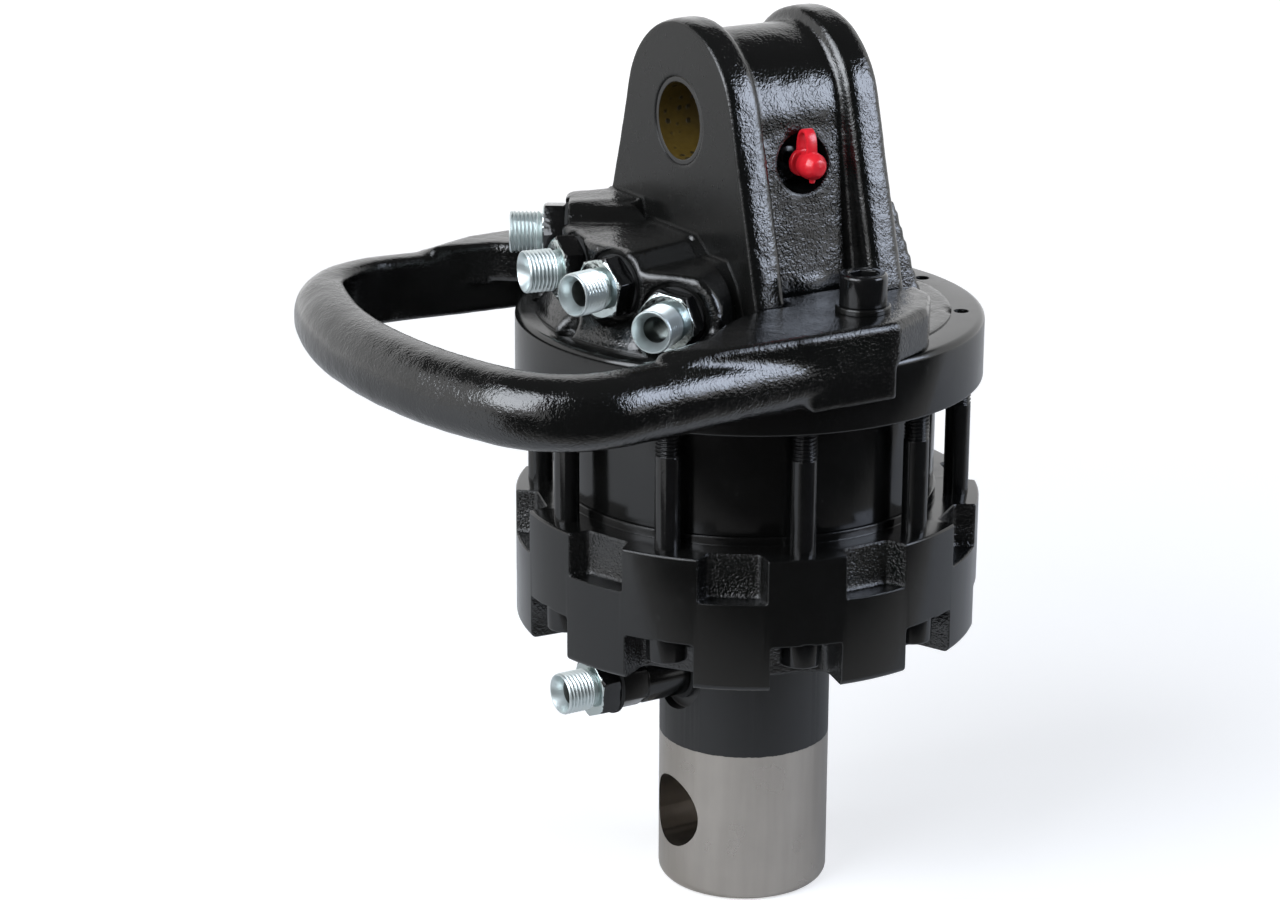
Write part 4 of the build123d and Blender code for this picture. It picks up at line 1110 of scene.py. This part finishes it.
@dataclass
class GreasePoint:
    """Grease nipple in the barrel's side, with its red cap and the strap that holds it."""

    neck: float = 2.6
    cap_room: float = 0.06
    strap_ends: tuple[Point, Point] = ((34.9, -8.4), (41.7, -8.6))
    strap_rise: float = 8.4
    strap_half: Point = (0.7, 2.2)

    def build(self) -> None:
        """Builds the nipple and the cap."""
        place = Matrix.Translation((GREASE_FLOOR, 0, GREASE_HEIGHT)) @ SIDEWARDS
        neck = self.neck
        nipple = [(0, -6), (2.9, -6), (2.9, 5.9), (neck, 5.9), (neck, 22.2, 0.5), (1.8, 23.0, 0.3), (0, 23.0)]
        foot = Solid.lathe(nipple, RING_PAINT, 32, place).join(hexagon(9.0, 0, 6.0, RING_PAINT).copy(place))
        foot.piece("nipple", Body.HOUSING, Slot.STEEL, "grease_nipple")
        self.cap(place).piece("cap", Body.HOUSING, Slot.PLASTIC, "grease_cap")

    def cap(self, place: Matrix) -> Solid:
        """Makes the cap with its collar, its strap and the stub of its sprue.

        Args:
            place: the frame at the nipple's foot, its z along +X.

        Returns:
            The cap.
        """
        bore = self.neck + self.cap_room
        ball = [(bore, 17.2, 0.2), (4.3, 17.2, 0.6), (5.2, 19.0, 1.6), (5.45, 21.6, 3.0), (4.9, 24.8, 2.4)]
        ball += [(3.0, 27.2, 2.0), (0.2, 27.6), (0.2, 23.1), (bore, 23.1)]
        collar = [(bore, 13.8, 0.2), (5.3, 13.8, 0.6), (5.3, 15.9, 0.6), (bore, 15.9, 0.2)]
        sprue = [(0, 4.6), (1.5, 4.6), (1.0, 6.6, 0.4), (0, 6.8)]
        return Solid.lathe(ball, RED, 48, place, ring=True).join(
            Solid.lathe(collar, RED, 48, place, ring=True),
            Solid.lathe(sprue, RED, 24, place @ raised(22.4) @ spun(90, "X")),
            self.strap(),
        )

    def strap(self) -> Solid:
        """Returns the strap that loops from the collar up and over to the cap."""
        start, stop = map(Vector, self.strap_ends)
        centre, half = (start + stop) / 2, (stop - start).length / 2
        thick, wide = self.strap_half
        outer, inner = [], []
        for angle in (math.pi * step / 24 for step in range(25)):
            middle = centre + Vector((-half * math.cos(angle), self.strap_rise * math.sin(angle) ** 0.7))
            away = Vector((-math.cos(angle), math.sin(angle))) * thick
            outer.append(tuple(middle + away))
            inner.append(tuple(middle - away))
        return Solid.prism(outer + inner[::-1], -wide, wide, RED, FRONTWARDS).bevel(0.35, 2, 50)


@dataclass
class Guard:
    """Cast hose guard with its screws and washers."""

    voxel: float = 1.25
    smoothing: int = 6
    waves: tuple[Point, ...] = ((34.0, 0.30), (13.0, 0.16), (5.0, 0.08))
    screw_reach: float = 78.0
    washer: float = 2.5
    screw_head: float = 12.0
    ramp_start: Point = (86.0, -95.0)
    ramp_end: Point = (100.0, -60.0)

    def build(self) -> None:
        """Builds the guard, its washers and its screws."""
        shape = Solid.from_cad("hose_guard", CASTING).combine(Cut.REMOVE, self.ramp(1), self.ramp(-1))
        shape.cast(self.voxel, self.smoothing, self.waves)
        shape.piece("guard", Body.HOUSING, Slot.CASTING, "hose_guard")
        self.washers().piece("guard_washers_turned", Body.HOUSING, Slot.STEEL_BLACK, "guard_washers")
        self.screws().piece("guard_screws_threaded", Body.HOUSING, Slot.SCREW, "guard_screws")

    def ramp(self, side: int) -> Solid:
        """Makes the cutter that lets a lug's flat top run out into the rounded bar.

        Args:
            side: 1 for the side of +X and -1 for the other.

        Returns:
            The cutter.
        """
        start, end = (Vector((side * x, y, 0.0)) for x, y in (self.ramp_start, self.ramp_end))
        run = (end - start).normalized()
        out, up = Vector((side * run.y, -abs(run.x), 0.0)), Vector((0.0, 0.0, 1.0))
        axes = Matrix((out, up, out.cross(up))).transposed().to_4x4()
        slope = [(-8, -58), (8, -63.9), (30, -63.9), (30, -58)]
        return Solid.prism(slope, -45, 45, CASTING, Matrix.Translation(start) @ axes)

    def washers(self) -> Solid:
        """Returns both washers."""
        low, high = LUG_TOP + 0.02, LUG_TOP + self.washer
        section = [(6.5, low), (10.5, low, 0.4), (10.5, high, 0.5), (6.5, high, 0.3)]
        return RingOfCopies(RING_PAINT).of(Solid.lathe(section, RING_PAINT, 64, ring=True), 2, self.screw_reach)

    def screws(self) -> Solid:
        """Returns both cap screws, heads up."""
        seat = LUG_TOP + self.washer
        top = seat + self.screw_head
        body = [(0, seat - 36), (5.2, seat - 36), (6, seat - 35), (6, seat), (9, seat, 0.4), (9, top, 1.1), (0, top)]
        key = socket_cutter(10, 6, SCREW_BLACK).copy(raised(top) @ spun(180, "X"))
        single = Solid.lathe(body, SCREW_BLACK, 64).combine(Cut.REMOVE, key)
        return RingOfCopies(SCREW_BLACK).of(single, 2, self.screw_reach, spin=50)


@dataclass
class MotorHousing:
    """Stator ring, castellated lower housing and the long screws that clamp them."""

    stator: tuple[float, float] = (62.0, 74.0)
    top: float = -152.0
    bottom: float = -204.5
    seat: float = -186.5
    screw_head: float = 10.0
    screw_length: float = 100.0
    thread: Thread = Thread(5.0, -115.5, -101.5, 1.5, 0.8)

    def build(self) -> None:
        """Builds the ring, the housing and the screws."""
        inner, outer = self.stator
        stator = [(inner, STATOR_BOTTOM), (outer, STATOR_BOTTOM, 0.4), (outer, STATOR_TOP, 0.4), (inner, STATOR_TOP)]
        Solid.lathe(stator, RING_PAINT, 192, ring=True).piece(
            "stator", Body.HOUSING, Slot.STEEL_BLACK, "stator_ring"
        )
        self.ring().piece("castellated_ring", Body.HOUSING, Slot.STEEL_BLACK, "lower_housing")
        self.screws().piece("long_screws", Body.HOUSING, Slot.SCREW, "housing_screws")

    def ring(self) -> Solid:
        """Returns the lower housing with its pockets, notches and screw recesses."""
        bottom, top, seat, rim, past = self.bottom, self.top, self.seat, HOUSING_RADIUS, HOUSING_RADIUS + 5
        section = [(34.95, bottom + 13), (44, bottom + 13), (44, bottom, 0.5), (rim, bottom, 2.4), (rim, top, 0.9)]
        section += [(75, top), (75, STATOR_BOTTOM, 0.3), (47.9, STATOR_BOTTOM), (47.9, -158.7), (39.1, -158.7)]
        section += [(39.1, -176.7), (34.95, -176.7)]
        pocket = [(83.5, -10, 2.5), (past, -16.4), (past, 16.4), (83.5, 10, 2.5)]
        notch = [(74, -12.9, 4.0), (past, -14.7), (past, 14.7), (74, 12.9, 4.0)]
        at_screw = Matrix.Translation((SCREW_CIRCLE, 0, 0))
        cutters = [
            (Solid.prism(notch, bottom - 3, seat, POCKET).bevel(1.2, 3, 60), FIRST_SCREW),
            (Solid.cylinder(9.5, seat - 12, seat + 0.4, POCKET, 40, at_screw), FIRST_SCREW),
            (Solid.prism(pocket, top - 17.5, top + 2, POCKET).bevel(1.2, 3, 60), 0.0),
        ]
        shape, copies = Solid.lathe(section, RING_PAINT, 240, ring=True), RingOfCopies(POCKET)
        for cutter, first in cutters:
            shape.combine(Cut.REMOVE, copies.of(cutter, SCREW_COUNT, first=first))
        return shape.bevel(0.5, 2, 50)

    def screws(self) -> Solid:
        """Returns the ten long screws, heads down, with threads where they enter the flange."""
        seat, foot, tip = self.seat, self.seat - self.screw_head, self.seat + self.screw_length
        body = [(0, foot), (8, foot, 0.8), (8, seat, 0.3), (5, seat), (5, tip), (0, tip)]
        single = Solid.lathe(body, SCREW_BLACK, 28, thread=self.thread)
        single.combine(Cut.REMOVE, socket_cutter(8, 5, SCREW_BLACK).copy(raised(foot)))
        return RingOfCopies(SCREW_BLACK).of(single, SCREW_COUNT, SCREW_CIRCLE, FIRST_SCREW, 58)


@dataclass
class Fittings:
    """All the adapters: four on the port block and two on the shaft's extensions."""

    spins: tuple[float, ...] = (8.0, 37.0, 16.0, 52.0)
    shaft_spins: tuple[float, ...] = (24.0, 41.0)
    across_flats: float = 22.0
    nose: float = 8.33
    nose_end: float = 23.0
    cone: float = 7.5
    bore: float = 5.0
    thread: Thread = Thread(8.33, 11.9, 22.6, 1.55, 0.95)
    tube_end: float = SEAL_TOP + 31.5

    def build(self) -> None:
        """Builds the adapters and the shaft's extensions."""
        adapter, tube = self.adapter(), self.tube()
        for number, (place, spin) in enumerate(zip(port_frames(), self.spins), start=1):
            turned = adapter.copy(place @ spun(spin))
            turned.piece(f"adapter_{number}", Body.HOUSING, Slot.ZINC, f"port_adapter_{number}")
        for side, azimuth, spin in zip(("front", "rear"), (0.0, 180.0), self.shaft_spins):
            base = port_frame(azimuth, SHAFT_PORT, SHAFT_SEAT)
            turned = tube.copy(base @ spun(-spin))
            turned.piece(f"extension_{side}", Body.ROTOR, Slot.STEEL_BLACK, f"port_extension_{side}")
            turned = adapter.copy(base @ raised(self.tube_end) @ spun(spin))
            turned.piece(f"shaft_fitting_{side}", Body.ROTOR, Slot.ZINC, f"shaft_adapter_{side}")

    def adapter(self) -> Solid:
        """Returns an adapter with its 60 degree cone, z = 0 at the face that its seal rests on."""
        nose, end = self.nose, self.nose_end
        cone_foot = end - (self.cone - self.bore) / math.tan(math.radians(30))
        profile = [(0, STUD_FOOT), (7.5, STUD_FOOT), (STUD_RADIUS, -10.2), (STUD_RADIUS, 1.3), (7.3, 1.3)]
        profile += [(7.3, 11.0, 0.3), (nose, 12.0), (nose, 22.4), (7.9, end, 0.15), (self.cone, end)]
        profile += [(self.bore, cone_foot), (0, cone_foot)]
        shape = Solid.lathe(profile, ZINC, 64, thread=self.thread)
        # The bore's faces get the dark bore finish, which is painted shade.
        shape.combine(Cut.REMOVE, Solid.cylinder(self.bore, -8, cone_foot + 0.2, BORE_SHADE))
        body = hexagon(self.across_flats, SEAL_TOP, 10.0, HEX_PAINT).bevel(0.25, 2, 25)
        return shape.join(body).mark("along", lambda place: place.z)

    def tube(self) -> Solid:
        """Returns an extension, z = 0 at the shaft's spotface."""
        end, neck = self.tube_end, self.tube_end - 12.4
        profile = [(0, STUD_FOOT), (STUD_RADIUS, STUD_FOOT), (STUD_RADIUS, 1.3), (10.2, 1.3, 0.4)]
        profile += [(10.2, neck, 0.3), (8.6, neck), (8.6, end - 1), (0, end - 1)]
        return Solid.lathe(profile, RING_PAINT, 64).join(hexagon(19.0, end - 12.5, end, RING_PAINT).bevel(0.3, 2, 25))


@dataclass
class Shaft:
    """Output shaft with its cross pin hole and port spotfaces."""

    radius: float = 34.5
    rotor: tuple[float, float, float] = (54.9, -148.45, -105.1)
    journal: tuple[float, float] = (27.45, -37.1)
    pin: tuple[float, float] = (15.0, 33.0)

    def build(self) -> None:
        """Builds the shaft."""
        radius, (rotor, rotor_low, rotor_high), (journal, top) = self.radius, self.rotor, self.journal
        profile = [(0, SHAFT_END), (radius, SHAFT_END, 4.0), (radius, rotor_low), (rotor, rotor_low)]
        profile += [(rotor, rotor_high), (journal, rotor_high), (journal, top, 1.0), (0, top)]
        pin_radius, pin_height = self.pin
        across = raised(SHAFT_END + pin_height) @ spun(90, "X")
        cutters = [Solid.cylinder(pin_radius, -50, 50, SHAFT_STEEL, 96, across)]
        spotface = [(0, 0), (16, 0, 0.6), (16, 10), (0, 10)]
        for place in (port_frame(azimuth, SHAFT_PORT, SHAFT_SEAT) for azimuth in (0.0, 180.0)):
            cutters.append(Solid.lathe(spotface, SHAFT_STEEL, 64, place))
            cutters.append(Solid.cylinder(STUD_HOLE, -13, 1, SHAFT_STEEL, 32, place))
        shape = Solid.lathe(profile, SHAFT_STEEL, 192).combine(Cut.REMOVE, *cutters).bevel(0.7, 3, 50)
        shape.piece("shaft", Body.ROTOR, Slot.STEEL, "output_shaft")


class CarriedOver:
    """CAD nodes that keep their own shape and get a finish here."""

    FINISHES = {
        Slot.STEEL: STEEL,
        Slot.CAGE: BRASS,
        Slot.BUSH: LINING,
        Slot.RUBBER: RUBBER,
        Slot.STEEL_BLACK: RING_PAINT,
    }

    def build(self) -> None:
        """Gives each CAD node of these slots its finish."""
        slots = {part["node"]: part["material_slot"] for part in frame["record"]["subparts"]}
        for name, node in frame["nodes"].items():
            finish = self.FINISHES.get(slots[name])
            if finish:
                for held in node.material_slots:
                    held.material = finish.material()
                log.info("%s: carried over in %s", name, finish.name)


# Studio, in metres


def compass(azimuth: float, elevation: float, distance: float) -> Vector:
    """Place seen from the head.

    Args:
        azimuth: degrees from +X towards +Y.
        elevation: degrees above the level.
        distance: distance in metres.

    Returns:
        The place.
    """
    turn, rise = math.radians(azimuth), math.radians(elevation)
    aim = Vector((math.cos(turn) * math.cos(rise), math.sin(turn) * math.cos(rise), math.sin(rise)))
    return aim * distance


@dataclass(frozen=True)
class Lamp:
    """One soft box: where it stands, how large it is and how bright its cloth is."""

    name: str
    azimuth: float
    elevation: float
    distance: float
    size: Point
    brightness: float
    colour: Colour

    def build(self) -> None:
        """Hangs the lamp and turns it to the head."""
        light = bpy.data.lights.new(self.name, "AREA")
        light.shape = "RECTANGLE"
        light.size, light.size_y = self.size
        light.energy = self.brightness * math.pi * light.size * light.size_y
        light.color = self.colour
        lamp = stand(self.name, light)
        lamp.location = compass(self.azimuth, self.elevation, self.distance)
        lamp.rotation_euler = (-lamp.location).to_track_quat("-Z", "Y").to_euler()
        lamp.visible_camera = False


@dataclass
class Studio:
    """White table and wall, soft boxes, dark cards on the camera's side that only reflections see, and the
    photograph's camera.
    """

    floor: float = SHAFT_END * MM
    wall_reach: float = 4.0
    wall_height: float = 3.4
    room: float = 0.08
    near_glow: float = 0.60
    mirror_glow: float = 0.12
    card_azimuth: float = -10.0
    # Glow of the cards near the part and far out: a painted reflection, seen by glossy rays alone.
    painted_reflection_glow: Point = (0.6, 0.04)
    lamps: tuple[Lamp, ...] = (
        Lamp("softbox_right", 44.0, 22.5, 1.3, (0.72, 0.70), 6.6, (0.89, 1.0, 1.22)),
        Lamp("softbox_left", -82.0, 34.0, 1.25, (1.00, 1.10), 7.0, (0.95, 1.0, 1.07)),
    )

    def build(self) -> None:
        """Sets the table, the wall, the cards, the lamps, the room and the camera."""
        self.lay_table()
        self.raise_wall()
        self.stand_cards()
        self.light_room()
        for lamp in self.lamps:
            lamp.build()
        self.aim_camera()

    def sheet(self, name: str, rows: Sequence[Sequence[Vector]], work: Paintwork) -> bpy.types.Object:
        """Makes one flat or curved sheet of the studio.

        Args:
            name: its name.
            rows: rows of points, joined row to row.
            work: its material's tree.

        Returns:
            The sheet.
        """
        width = len(rows[0])
        starts = [row * width + column for row in range(len(rows) - 1) for column in range(width - 1)]
        faces = [(start, start + 1, start + width + 1, start + width) for start in starts]
        mesh = bpy.data.meshes.new(name)
        mesh.from_pydata([tuple(point) for row in rows for point in row], [], faces)
        mesh.materials.append(work.material)
        made = stand(name, mesh)
        return made

    def lay_table(self) -> None:
        """Lays the white table, which is lit by the soft boxes near the part and glows further out."""
        work = Paintwork("table_white")
        reach = work.node("ShaderNodeVectorMath", {0: work.where}, operation="LENGTH").outputs["Value"]
        path = work.node("ShaderNodeLightPath").outputs
        direct = work.math("MAXIMUM", path["Is Camera Ray"], path["Is Transmission Ray"])
        direct = work.math("MULTIPLY", direct, work.spread(reach, 0.5, 1.6, self.near_glow, 1.0))
        mirrored = work.math("MULTIPLY", path["Is Glossy Ray"], work.spread(reach, 0.7, 2.2, self.mirror_glow, 1.0))
        work.wear(Base_Color=STAGE_GREY, Roughness=0.7)
        work.wear(Emission_Color=WHITE, Emission_Strength=work.math("ADD", direct, mirrored))
        half = self.wall_reach
        self.sheet("table", [[Vector((x, y, self.floor)) for x in (-half, half)] for y in (-half, half)], work)

    def raise_wall(self) -> None:
        """Raises the white wall round the table."""
        work = Paintwork("wall_white")
        path = work.node("ShaderNodeLightPath").outputs
        seen = work.math("MAXIMUM", path["Is Camera Ray"], path["Is Glossy Ray"])
        seen = work.math("MAXIMUM", seen, path["Is Transmission Ray"])
        work.wear(Base_Color=STAGE_GREY, Roughness=0.7, Emission_Color=WHITE, Emission_Strength=seen)
        reach, up = self.wall_reach * 0.98, Vector((0, 0, 1))
        ring = [compass(360 * step / 48, 0.0, reach) for step in range(49)]
        heights = (self.floor, self.floor + self.wall_height)
        self.sheet("wall", [[point + up * height for point in ring] for height in heights], work)

    def stand_cards(self) -> None:
        """Stands dark cards on the camera's side that only reflections see: their glow, brighter near the part and
        darker further out, is a painted reflection that darkens the table and wall in the part's reflections.
        """
        away, up = compass(self.card_azimuth, 0.0, 1.0), Vector((0, 0, 1))
        side = away.cross(-up)
        work = Paintwork("card_dark")
        reach = work.node("ShaderNodeVectorMath", {0: work.where, 1: away}, operation="DOT_PRODUCT").outputs["Value"]
        work.wear(Base_Color=(0.0, 0.0, 0.0, 1.0), Roughness=1.0, Specular_IOR_Level=0.0)
        # Painted reflection: the glow fades with distance from the part.
        work.wear(Emission_Color=WHITE, Emission_Strength=work.spread(reach, 0.20, 0.42, *self.painted_reflection_glow))
        low = self.floor + 0.001
        flat = [[away * reach + side * across + up * low for across in (-3.0, 3.0)] for reach in (0.2, 3.0)]
        tall = [[away * 2.6 + side * across + up * height for across in (-2.0, 2.0)] for height in (low, 3.2)]
        for name, rows in (("card_table", flat), ("card_wall", tall)):
            card = self.sheet(name, rows, work)
            for ray in ("camera", "diffuse", "shadow", "transmission"):
                setattr(card, f"visible_{ray}", False)

    def light_room(self) -> None:
        """Fills the room above the wall with an even, dim light."""
        world = bpy.data.worlds.new("room")
        world.use_nodes = True
        world.node_tree.nodes.clear()
        work = Wiring(world.node_tree)
        light = work.node("ShaderNodeBackground", {"Color": WHITE, "Strength": self.room})
        work.node("ShaderNodeOutputWorld", {"Surface": light.outputs[0]})
        bpy.context.scene.world = world

    def aim_camera(self) -> None:
        """Puts the camera where the photograph was taken from."""
        right = Vector((0.51521, 0.85706, 0.00388))
        up = Vector((-0.26375, 0.15424, 0.95218))
        back = Vector((0.81547, -0.49159, 0.30552))
        camera = bpy.data.cameras.new("camera")
        camera.sensor_width = 36.0
        camera.lens = 98.6
        holder = stand("camera", camera)
        place = Matrix((right, up, back)).transposed().to_4x4()
        place.translation = Vector((1.11713, -0.72344, 0.28919))
        holder.matrix_world = place
        bpy.context.scene.camera = holder


def main() -> None:
    """Builds the scene in order and reports each piece."""
    logging.basicConfig(level=logging.INFO, format="%(name)s: %(message)s")
    bpy.context.scene.view_settings.view_transform = "Standard"
    for kind in (Studio, CarriedOver, Head, LinkBushes, GreasePoint, Guard, MotorHousing, Fittings, Shaft):
        log.info("building %s", kind.__name__)
        kind().build()


if __name__ == "__main__":
    main()
